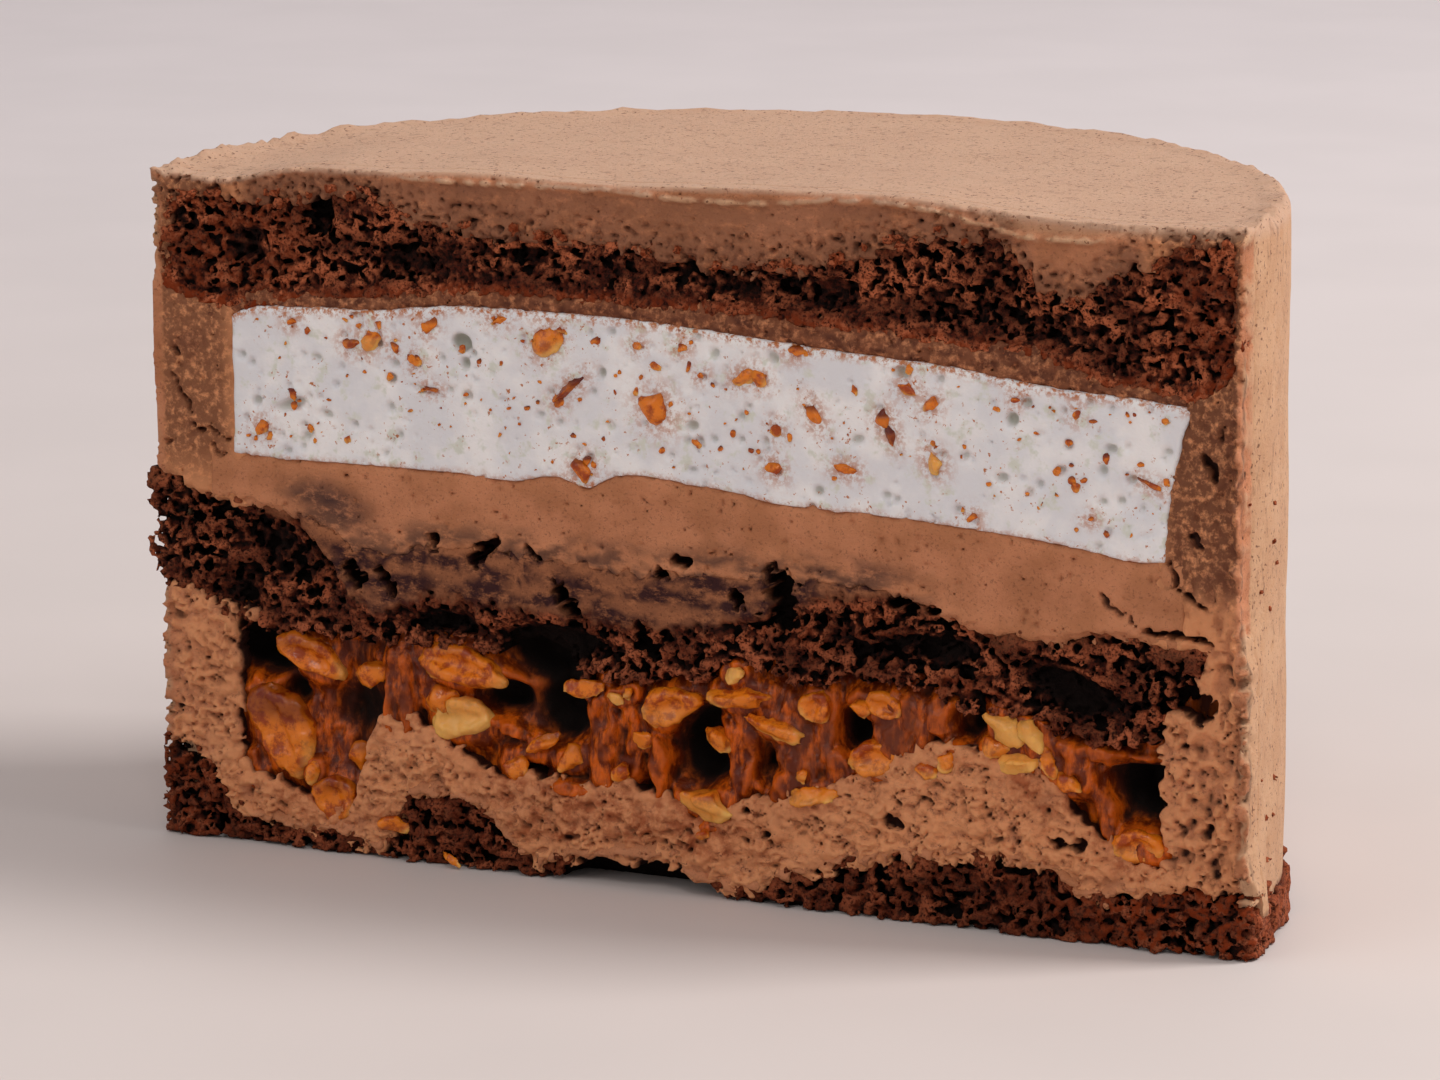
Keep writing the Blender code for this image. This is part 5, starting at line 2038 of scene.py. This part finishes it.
    def speckle(self) -> list[Nut]:
        """Tiny crumbs of nut scattered through the nougat."""
        draw = np.random.default_rng(self.seed + 1)
        found = []
        noise = Noise(self.seed)
        while len(found) < self.specks:
            x, z = draw.uniform(-66, 69), draw.uniform(53, 76.5)
            if Outline.nougat_foot(np.array(x)) + 1 > z or Outline.nougat_head(np.array(x)) - 0.6 < z:
                continue
            if noise.smooth(np.array(x / 9), np.array(0.5), np.array(z / 7)) < draw.uniform(-0.5, 0.5):
                continue
            size = 0.35 + 0.9 * draw.random() ** 2.5
            long, tilt, pale = size * draw.uniform(1, 1.8), draw.uniform(0, 180), draw.uniform(-0.4, 0.4)
            found.append(Nut(x, z, long, size, tilt, pale, 0.3, 0.9))
        return found


@dataclass
class CoatFront(Layer):
    """The cream that shows at the cut round the other layers: the top, the two ends and their rings."""

    name: str = "coat_front"
    node: str = "coat"
    slot: Slot = Slot.CREAM
    spacing: float = 0.38
    radius: float = CAKE_RADIUS
    depth: float = 5.0
    fine_depth: float = 2.4
    reach: Pair = (-82.6, 84.4)
    span: Pair = (1.0, 98.0)
    budget: int = 105000
    seed: int = 101
    ring: Pair = (66.0, 69.0)
    rind: float = 78.6
    sponge_ends: tuple[Pair, Pair] = ((43.8, 7.4), (5.0, 8.2))

    def low(self, x: Array) -> Array:
        """The foot of the cream."""
        return Outline.base_top(x) - 0.3

    def high(self, x: Array) -> Array:
        """The icing's edge along the cut."""
        return Outline.top_edge(x)

    def inner(self, x: Array, z: Array) -> Array:
        """The part of the cut that the other layers take, below zero inside them.

        Args:
            x: Places along the cut.
            z: Heights.

        Returns:
            The field at each place.
        """
        outline = Outline
        wander = 1.8 * self.noise.rough(x / 4.0, 0 * x + np.sign(x), z / 2.6, 3, 0.65)
        stray = frayed(x, z)
        top = np.maximum(outline.top_sponge_foot(x) + 0.8 * stray - z, z - torn_head(x) - 1.8 * stray)
        left = -self.rind - x
        right = x - 78.4 - 0.35 * self.noise.smooth(0 * x, 0 * x, z / 2.0)
        top = np.maximum(top, np.maximum(left, right))
        nougat = np.maximum(outline.nougat_foot(x) - z, z - outline.top_sponge_foot(x) - 2)
        nougat = np.maximum(nougat, np.maximum(outline.nougat_left - x, x - outline.nougat_right(z)))
        cream = np.maximum(outline.sponge_head(x) - z, z - outline.nougat_foot(x) - 2)
        cream = np.maximum(cream, np.abs(x - 0.6) - 67.4)
        under, over = outline.sponge_foot(x) + 2.4 * stray - z, z - outline.sponge_head(x) - 1.3 * stray
        right = x - outline.sponge_right - 1.6 * self.noise.smooth(0 * x, 0 * x + 3, z / 2.2)
        middle = np.maximum(np.maximum(under, over), right - 1.5 * stray)
        filling = np.maximum(outline.base_top(x) - z, z - outline.sponge_foot(x) - 2)
        filling = np.maximum(filling, np.abs(x + 0.2) - 69.4 - wander)
        core = np.maximum(outline.base_top(x) - z, np.abs(x) - 66.0)
        core = np.maximum(core, z - outline.top_sponge_head(x) + 4.0)
        inner = np.minimum(np.minimum(top, nougat), np.minimum(cream, middle))
        return np.minimum(np.minimum(inner, filling), core)

    def ledge(self, x: Array, z: Array) -> Array:
        """The thin broken lip that the knife pulled up below the top edge, from 0 to 1."""
        on = ease(x, -46.0, -36.0) * ease(x, 64.0, 56.0)
        wobble = 0.35 * self.noise.rough(x / 3.0, 0 * x, 0 * x + 2.0, 3, 0.6)
        line = np.exp(-(((z - Outline.ledge(x) - wobble) / 0.42) ** 2))
        broken = 0.75 + 1.3 * self.noise.rough(x / 2.2, 0 * x, 0 * x + 8, 2, 0.6)
        return line * on * np.clip(broken, 0.0, 1.3)

    def face(self, x: Array, z: Array) -> Array:
        """How deep the cut face lies."""
        noise = self.noise
        recess = 0.45 + 0.28 * noise.rough(x / 7.0, 0 * x, z / 7.0, 3, 0.55)
        side = ease(np.abs(x), *self.ring)
        recess = recess + side * mousse(noise, x, z) * (0.25 + 0.85 * ease(z, 44.0, 34.0))
        near = ease(z - torn_head(x), 6.5, 0.2) * (z > 80.0)
        pitted = np.maximum(0.0, noise.rough(x / 1.1, 0 * x + 6, z, 3, 0.7) - 0.02)
        pitted = 0.35 + 2.6 * pitted + 0.5 * noise.rough(x / 3.0, 0 * x + 1, z / 2.0, 2, 0.6)
        recess = recess + near * pitted
        bevel = ease(x, 40.0, 46.0) * ease(z - Outline.ledge(x), 0.0, 1.6)
        recess = recess + tear_depth(x, z) - 0.95 * self.ledge(x, z) + 0.9 * bevel
        start = 77.4 + 1.2 * noise.rough(0 * x, 0 * x + 4, z / 3.0, 3, 0.6)
        height = 0.75 + 1.7 * noise.rough(x / 3.0, 0 * x, z / 2.6, 3, 0.65)
        ridge = ease(x, start, start + 1.0) * np.maximum(height, 0.0) * ease(x, 82.0, 80.0)
        scrape = 0.5 * noise.rough(x / 1.3, 0 * x + 3.0, z / 4.0, 3, 0.65) * ease(x, 66.0, 72.0)
        return np.maximum(recess + 1.5 * scrape - ridge * ease(z, 8.0, 14.0), -0.85)

    def carve(self, x: Array, y: Array, z: Array) -> Array:
        """Cut cream in a frame round the layers."""
        noise = self.noise
        fringe = 0.8 * noise.rough(x / 1.5, y / 3, z / 1.5, 3, 0.6) + 0.5 * ease(y, 1.5, 0.6)
        away = -self.inner(x, z) - 0.75 + fringe - 0.6 * ease(y, 0.8, 2.0)
        outer = np.maximum(z - top_height(x, y + 0 * x), self.low(x) + 2.6 * frayed(x, z) - z)
        side = np.hypot(x, y) - (self.radius + side_out(x, y + 0 * x, z + 0 * x))
        left_sponge = np.minimum(*(np.abs(z - middle) - half for middle, half in self.sponge_ends))
        left = np.where(x < -76.0, -left_sponge, -9.0)
        shape = np.maximum(np.maximum(outer, side), np.maximum(away, left))
        shape = np.maximum(shape, self.face(x, z) - y)
        pores, own = noise.cells(x / 1.3, y / 1.3, z / 1.3)
        hollow = np.where(own > 0.68, (0.25 - pores) * 1.4, -1.0) - 2.0 * ease(y, 1.6, 3.2)
        hollow = hollow - 3.0 * ease(np.hypot(x, y), 77.6, 78.4) * (x > 0)
        return np.maximum(shape, hollow)

    def looks(self, x: Array, y: Array, z: Array) -> dict[str, Array]:
        """The knife dragged crumb over the icing above the top sponge."""
        gap = z - Outline.top_sponge_head(x)
        over = ease(gap, 6.0, 0.5) * (z > 80.0) * ease(np.abs(x), 78.2, 76.5)
        outside = ease(top_height(x, y) - z, 0.9, 0.25) * ease(y, -0.3, 0.8)
        outside = np.maximum(outside, ease(np.hypot(x, y), 78.9, 79.3) * ease(y, 0.0, 0.4) * (x > 0))
        outside = np.maximum(outside, ease(np.hypot(x, y), 78.9, 79.6) * ease(y, 0.6, 1.4))
        lip = ease(self.ledge(x, z), 0.25, 0.7)
        bevel = 0.6 * ease(x, 40.0, 46.0) * ease(z - Outline.ledge(x), 0.2, 1.4)
        strip = 0.45 * ease(gap, -3.0, 0.5) * ease(top_height(x, y) - z, 0.8, 1.8) * (z > 80.0)
        smear = np.maximum(0.6 * over, strip * (0.45 + 0.55 * ease(x, 46.0, 30.0)))
        return {"smear": np.clip(smear, 0, 1), "spread": np.clip(outside + lip + bevel, 0, 1)}

    def marks(self, points: Array) -> dict[str, Array]:
        """Painted shade in cracks, hollows, deeper places, the corner ridge's pits and the upper end
        rings; a painted highlight on cut cream that stands out and a painted sheen on the top.
        """
        x, y, z = points.T
        near, wide = stand_out(points, 0.8), stand_out(points, 2.6)
        cut = (z < top_height(x, y) - 0.8) * (np.hypot(x, y) < self.rind)
        bevel = ease(x, 40.0, 44.0) * (z > Outline.ledge(x) - 2.0)
        # Painted shade in hollows and deeper places of the cut.
        deep = np.maximum(ease(y, 1.8, 3.6), ease(near + 0.6 * wide, -0.3, -1.2)) * cut * (1 - bevel)
        # Painted shade on the upper parts of the two end rings.
        dusk = 0.85 * ease(x, 67.0, 70.0) * ease(z, 44.0, 50.0)
        dusk = dusk + 0.75 * ease(x, -66.0, -70.0) * ease(z, 47.0, 57.0)
        corner = (x > 0) * (np.hypot(x, y) >= self.rind) * (z > 10.0)
        # Painted shade in the pits of the corner ridge.
        deep = np.maximum(deep, 0.6 * corner * ease(near, -0.1, -0.5) * ease(y, 1.6, 0.8))
        # Painted highlight on cut cream that stands out.
        crest = ease(near + 0.3 * wide, 0.0, 0.45) * cut * (0.15 + 0.85 * ease(np.abs(x), 64.0, 68.0))
        torn = 0.55 * ease(np.abs(x), *self.ring) * (0.1 + 0.9 * ease(z, 44.0, 34.0))
        torn = torn * cut * ease(self.noise.smooth(x / 3.0, y, z / 2.4), -0.4, 0.1)
        # Painted sheen on the top of the icing.
        crown = ease(top_height(x, y) - z, 1.6, 0.4)
        marks = {"deep": deep, "crest": crest, "dusk": dusk * cut, "torn": torn, "crown": crown}
        return {**marks, **self.looks(x, y, z)}

    def build(self, material: Material) -> Piece:
        """Carves the frame of cream, without a half disc behind it."""
        xs, ys, zs = self.steps()
        x, y, z = xs[:, None, None], ys[None, :, None], zs[None, None, :]
        values = self.carve(x, y, z).astype(np.float32)
        values = one_body(bounded(values), self.spacing)
        values[:, -1, :] = OUTSIDE
        points, faces = surface_nets(values, (xs, ys, zs))
        piece = mesh_object(self.name, points, faces, (), self.marks, self.budget)
        return settle(piece, self.slot, material, self.node)


@dataclass
class CoatShell:
    """The spread cream of the top and the round side, as one sheet with a thickness."""

    name: str = "coat_shell"
    start: float = 3.4
    joint: float = 5.0
    thickness: float = 1.6
    foot: float = COAT_FOOT
    round: float = 1.3
    side_length: float = 88.0

    def angles(self) -> Array:
        """Angles round the cake, closer near the two ends of the cut."""
        share = np.linspace(-1, 1, int(180 / COARSER))
        bent = np.sign(share) * (1 - (1 - np.abs(share)) ** 1.35)
        return (math.pi / 2) * (1 - bent)

    def profile(self) -> Array:
        """Distances along the sheet from the middle of the top, out and down to the foot."""
        gap = 0.9 * COARSER
        top = np.linspace(0.0, CAKE_RADIUS - self.round, int((CAKE_RADIUS - self.round) / gap))
        bend = CAKE_RADIUS - self.round + np.linspace(0.0, 2 * self.round, 7)[1:]
        end = CAKE_RADIUS + TOP_LEVEL - self.foot
        side = np.linspace(CAKE_RADIUS + self.round, end, int(self.side_length / gap))[1:]
        return np.concatenate([top, bend, side])

    def sheet(self, inset: float, angles: Array, along: Array) -> Array:
        """Points of the sheet, moved in by an inset, as an array of angle by profile.

        Args:
            inset: How far inside the cream's surface they lie.
            angles: Angles round the cake.
            along: Distances along the sheet.

        Returns:
            The points, as angle by profile by x, y and z.
        """
        turn, run = angles[:, None], along[None, :]
        bend = np.clip((run - CAKE_RADIUS + self.round) / (2 * self.round), 0.0, 1.0) * math.pi / 2
        edge = CAKE_RADIUS - self.round
        reach = np.minimum(run, edge) + self.round * np.sin(bend) - inset * np.sin(bend)
        drop = np.maximum(run - CAKE_RADIUS - self.round, 0.0)
        half = math.sqrt(CAKE_RADIUS**2 - self.start**2)
        rim_x = half * np.cos(turn)
        rim_y = np.sqrt(CAKE_RADIUS**2 - rim_x**2)
        share = reach / CAKE_RADIUS
        x, y = share * rim_x, self.start + share * (rim_y - self.start)
        level = top_height(x, y) - self.round * (1 - np.cos(bend)) - inset * np.cos(bend)
        z = level - (level - self.foot) * drop / (TOP_LEVEL - self.foot - self.round)
        under = 0.4 * ease(y, self.joint - 0.2, self.joint - 1.2)
        side = side_out(x, y, z) * np.sin(bend) - under
        scale = side / np.maximum(np.hypot(x, y), 1.0) * np.sin(bend)
        x, y = x * (1 + scale), y * (1 + scale)
        z = z - under * np.cos(bend)
        return np.stack([x, y, z], -1)

    def build(self, material: Material) -> Piece:
        """Makes the sheet: a fine outside, a coarse inside, and edges that join them."""
        angles, along = self.angles(), self.profile()
        sparse = np.unique(np.concatenate([np.arange(0, len(along), 14), [len(along) - 1]]))
        outer = self.sheet(0.0, angles, along)
        inner = self.sheet(self.thickness, angles, along[sparse])
        rows, columns = outer.shape[:2]
        few = len(sparse)
        points = np.concatenate([outer.reshape(-1, 3), inner.reshape(-1, 3)])
        grid = np.arange(rows * columns).reshape(rows, columns)
        back_grid = rows * columns + np.arange(rows * few).reshape(rows, few)
        faces = [self.quads(grid), self.quads(back_grid)[:, ::-1]]
        faces.append(np.stack([grid[1:, -1], grid[:-1, -1], back_grid[:-1, -1], back_grid[1:, -1]], 1))
        faces.append(np.stack([grid[:-1, 0], grid[1:, 0], back_grid[1:, 0], back_grid[:-1, 0]], 1))
        ends = [[*grid[0, :].tolist(), *back_grid[0, ::-1].tolist()]]
        ends.append([*grid[-1, ::-1].tolist(), *back_grid[-1, :].tolist()])
        x, y, z = points.T
        # crown: painted sheen over the top of the icing.
        marks = {"spread": np.ones(len(points)), "crown": ease(top_height(x, y) - z, 2.2, 0.6)}
        piece = mesh_object(self.name, points, np.concatenate(faces), ends, marks)
        return settle(piece, Slot.CREAM, material, "coat")

    @staticmethod
    def quads(grid: Array) -> Array:
        """Four-sided faces over a grid of point numbers."""
        return np.stack([grid[:-1, :-1], grid[:-1, 1:], grid[1:, 1:], grid[1:, :-1]], -1).reshape(-1, 4)


@dataclass
class Foot:
    """The crumbly rim of the bottom sponge that shows under the cream all round."""

    name: str = "foot_crumb"
    inner: float = 76.0
    outer: float = 81.8
    seed: int = 127

    def build(self, material: Material) -> Piece:
        """Carves the rim in a lattice of angle, radius and height."""
        gap = 0.8 * COARSER
        turns = np.linspace(0.012, math.pi - 0.012, int(math.pi * CAKE_RADIUS / gap))
        reach = np.arange(self.inner, self.outer + 2.0, gap, np.float32)
        heights = np.arange(-0.5, COAT_FOOT + 3.5, gap, np.float32)
        turn, far, z = turns[:, None, None], reach[None, :, None], heights[None, None, :]
        x, y = far * np.cos(turn), far * np.sin(turn)
        noise = Noise(self.seed)
        crag = noise.rough(x / 4, y / 4, z / 3 + 0 * x, 3, 0.6)
        shape = np.maximum(far - self.outer + 1.1 - 1.5 * crag, z - COAT_FOOT - 0.3 - 1.6 * crag)
        shape = np.maximum(shape, self.inner + 0.8 - far)
        clumps, own = noise.cells(x / 2.4, y / 2.4, z / 2.0 + 0 * x)
        shape = np.maximum(shape, (clumps - 0.7 + 0.1 * own) * 2.4)
        grains, _ = noise.cells(x, y, z + 0 * x)
        shape = np.maximum(shape - 0.7 * (0.5 - grains), 0.05 - z)
        shape = np.maximum(shape, 0.3 - y)
        points, faces = surface_nets(walled(shape), (turns.astype(np.float32), reach, heights))
        angle, far, z = points.T
        spots = np.stack([far * np.cos(angle), far * np.sin(angle), z], 1)
        # Painted highlight on the outer crumb of the rim, also laid on as rust, and painted shade on the
        # crumb further in.
        crest = ease(far, self.outer - 2.4, self.outer - 0.8)
        deep = ease(far, self.outer - 2.4, self.outer - 4.2)
        marks = {"crest": 0.7 * crest, "rust": 0.4 * crest, "deep": deep}
        piece = mesh_object(self.name, spots, faces[:, ::-1], (), marks)
        return settle(piece, Slot.SPONGE, material, "sponge_bottom")


@dataclass
class LooseCrumbs:
    """Crumbs of sponge stuck to the side and caught along the top sponge's torn edge."""

    name: str = "loose_crumbs"
    side_count: int = 18
    edge_count: int = 34
    seed: int = 139

    def spots(self) -> list[tuple[float, float, float, float]]:
        """Places and sizes of the crumbs."""
        draw = np.random.default_rng(self.seed)
        found = []
        for _ in range(self.side_count):
            turn = draw.uniform(0.02, 0.18) if draw.random() < 0.6 else draw.uniform(0.7, 3.1)
            height = draw.uniform(8, 60) if draw.random() < 0.6 else draw.uniform(44, 52)
            x, y = CAKE_RADIUS * math.cos(turn), CAKE_RADIUS * math.sin(turn)
            out = float(side_out(np.array(x), np.array(y), np.array(height)))
            scale = 1 + (out + 0.05) / CAKE_RADIUS
            found.append((x * scale, y * scale, height, draw.uniform(0.4, 0.8)))
        for _ in range(self.edge_count):
            x, y = draw.uniform(-74, 72), draw.uniform(-0.1, 0.6)
            height = float(torn_head(np.array(x))) + draw.uniform(-1.4, 0.6)
            found.append((x, y, height, draw.uniform(0.7, 1.4)))
        return found

    def build(self, material: Material) -> Piece:
        """Makes all crumbs as one piece."""
        gap = 0.26 * COARSER
        points, faces, total = [], [], 0
        noise = Noise(self.seed)
        for number, (x, y, z, size) in enumerate(self.spots()):
            line = np.arange(-1.0, 1.0 + gap, gap, np.float32) * size
            u, v, w = line[:, None, None], line[None, :, None], line[None, None, :]
            ball = np.sqrt(u**2 + v**2 + w**2) - 0.5 * size
            shape = ball + 0.8 * size * noise.rough(u / 0.55 + 9 * number, v / 0.55, w / 0.55, 2, 0.6)
            spots, quads = surface_nets(walled(shape), (line, line, line))
            if len(spots):
                points.append(spots + np.array([x, y, z], np.float32))
                faces.append(quads + total)
                total += len(spots)
        spots = np.concatenate(points)
        spots[:, 1] = np.maximum(spots[:, 1], -0.8)
        # Painted highlight over every loose crumb, with the rusty tone.
        marks = {"crest": np.full(total, 0.8), "rust": np.full(total, 0.8)}
        piece = mesh_object(self.name, spots, np.concatenate(faces), (), marks)
        return settle(piece, Slot.SPONGE, material, "sponge_top")


@dataclass(frozen=True)
class Lamp:
    """A soft square light: its name, place and size in metres, and power in watts."""

    name: str
    place: tuple[float, float, float]
    size: float
    power: float


@dataclass
class Studio:
    """The pale table, soft lights and the camera."""

    azimuth: float = 25.83
    elevation: float = 12.13
    distance: float = 784.9
    roll: float = -0.51
    target: Pair = (6.2, 49.4)
    focal_length: float = 149.25
    floor_tone: Colour = tone(212, 200, 196)
    # Painted light: the paler, cooler tone of the turned-up back of the table.
    painted_light_backdrop_tone: Colour = tone(237, 227, 228)
    stain_tone: Colour = (0.3, 0.28, 0.27)
    sky_tone: Colour = (1.0, 1.0, 1.0)
    sky_strength: float = 0.42
    lamp_tone: Colour = (1.0, 0.99, 0.97)
    lit_point: Colour = (0.0, 0.0, 0.05)
    lamps: tuple[Lamp, ...] = (
        Lamp("key", (1.14, 0.44, 1.2), 0.5, 21.0),
        Lamp("side", (1.35, -0.1, 1.0), 0.5, 3.0),
        Lamp("front", (0.55, -1.1, 1.35), 0.4, 4.0),
        Lamp("fill", (-0.7, -1.4, 0.9), 1.0, 4.0),
    )

    def table(self) -> None:
        """A table that turns up smoothly behind the cake."""
        mesh = bpy.data.meshes.new("table")
        profile = [(-3.0, 0.0), *[(float(y), 0.0) for y in np.arange(-0.4, 1.7, 0.2)]]
        turns = np.linspace(0.1, math.pi / 2, 16)
        profile += [(1.6 + 0.8 * math.sin(t), 0.8 - 0.8 * math.cos(t)) for t in turns]
        profile.append((2.4, 3.5))
        turn = Matrix.Rotation(math.radians(self.azimuth), 3, "Z")
        points = [turn @ Vector((side * 4.0, y, z)) for y, z in profile for side in (-1, 1)]
        faces = [(2 * i, 2 * i + 1, 2 * i + 3, 2 * i + 2) for i in range(len(profile) - 1)]
        mesh.from_pydata(points, [], faces)
        mesh.shade_smooth()
        table = bpy.data.objects.new("table", mesh)
        bpy.context.scene.collection.objects.link(table)
        make = Recipe("pale table")
        # Painted light: the floor near the cake has a darker, warmer tone and the turned-up back a paler,
        # cooler one.
        layer = mesh.attributes.new("wall", "FLOAT", "POINT")
        shares = [float(ease(np.array(y), -0.1, 1.0)) for y, _ in profile]
        layer.data.foreach_set("value", np.repeat(shares, 2))
        colour = make.mix(make.mark("wall"), self.floor_tone, self.painted_light_backdrop_tone)
        cloud = make.range(make.noise(60.0, 2.0), 0.3, 0.7, 0.0, 0.05)
        colour = make.mix(cloud, colour, self.stain_tone)
        make.link(colour, make.shader.inputs["Base Color"])
        make.constants(Roughness=0.6, Specular_IOR_Level=0.2)
        mesh.materials.append(make.material)

    def light(self, lamp: Lamp) -> None:
        """Hangs one lamp, facing the cake."""
        data = bpy.data.lights.new(lamp.name, "AREA")
        data.shape = "SQUARE"
        data.size = lamp.size
        data.energy = lamp.power
        data.color = self.lamp_tone
        thing = bpy.data.objects.new(lamp.name, data)
        thing.location = lamp.place
        thing.rotation_mode = "QUATERNION"
        thing.rotation_quaternion = (Vector(self.lit_point) - Vector(lamp.place)).to_track_quat("-Z", "Y")
        bpy.context.scene.collection.objects.link(thing)

    def camera(self) -> None:
        """The camera where the cake was seen from."""
        turn, lift, roll = (math.radians(v) for v in (self.azimuth, self.elevation, self.roll))
        back = Vector((math.sin(turn) * math.cos(lift), -math.cos(turn) * math.cos(lift), math.sin(lift)))
        right = Vector((math.cos(turn), math.sin(turn), 0.0))
        up = back.cross(right)
        rolled = right * math.cos(roll) + up * math.sin(roll)
        right, up = rolled, up * math.cos(roll) - right * math.sin(roll)
        target = Vector((self.target[0], CUT_Y, self.target[1])) * MM
        data = bpy.data.cameras.new("camera")
        data.lens = self.focal_length
        data.sensor_width = 36.0
        data.clip_start, data.clip_end = 0.02, 20.0
        camera = bpy.data.objects.new("camera", data)
        place = Matrix.Translation(target + back * self.distance * MM)
        camera.matrix_world = place @ Matrix((right, up, back)).transposed().to_4x4()
        bpy.context.scene.collection.objects.link(camera)
        bpy.context.scene.camera = camera

    def build(self) -> None:
        """Sets up the studio."""
        scene = bpy.context.scene
        scene.view_settings.view_transform = "Standard"
        scene.view_settings.look = "None"
        world = bpy.data.worlds.new("studio")
        scene.world = world
        world.use_nodes = True
        sky = world.node_tree.nodes["Background"]
        sky.inputs["Color"].default_value = (*self.sky_tone, 1.0)
        sky.inputs["Strength"].default_value = self.sky_strength
        self.table()
        for lamp in self.lamps:
            self.light(lamp)
        self.camera()


def main() -> None:
    """Builds every piece of the cake, then the studio."""
    logging.basicConfig(level=logging.INFO, format="%(name)s %(relativeCreated)d ms: %(message)s")
    finishes = Finishes()
    CoatShell().build(finishes.cream)
    CoatFront().build(finishes.cream)
    TopSponge().build(finishes.sponge)
    BandCream().build(finishes.cream)
    Nougat().build(finishes.nougat)
    MiddleCream().build(finishes.cream)
    MiddleSponge().build(finishes.sponge)
    Caramel().build(finishes.caramel)
    BedCream().build(finishes.cream)
    BottomSponge().build(finishes.sponge)
    Foot().build(finishes.sponge)
    LooseCrumbs().build(finishes.sponge)
    nuts = Nuts()
    nuts.place(nuts.filling, "filling_nuts", "caramel_nuts", finishes.nut)
    nuts.place([*nuts.nougat, *nuts.speckle()], "nougat_nuts", "nougat", finishes.nut)
    Studio().build()
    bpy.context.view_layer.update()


if __name__ == "__main__":
    main()
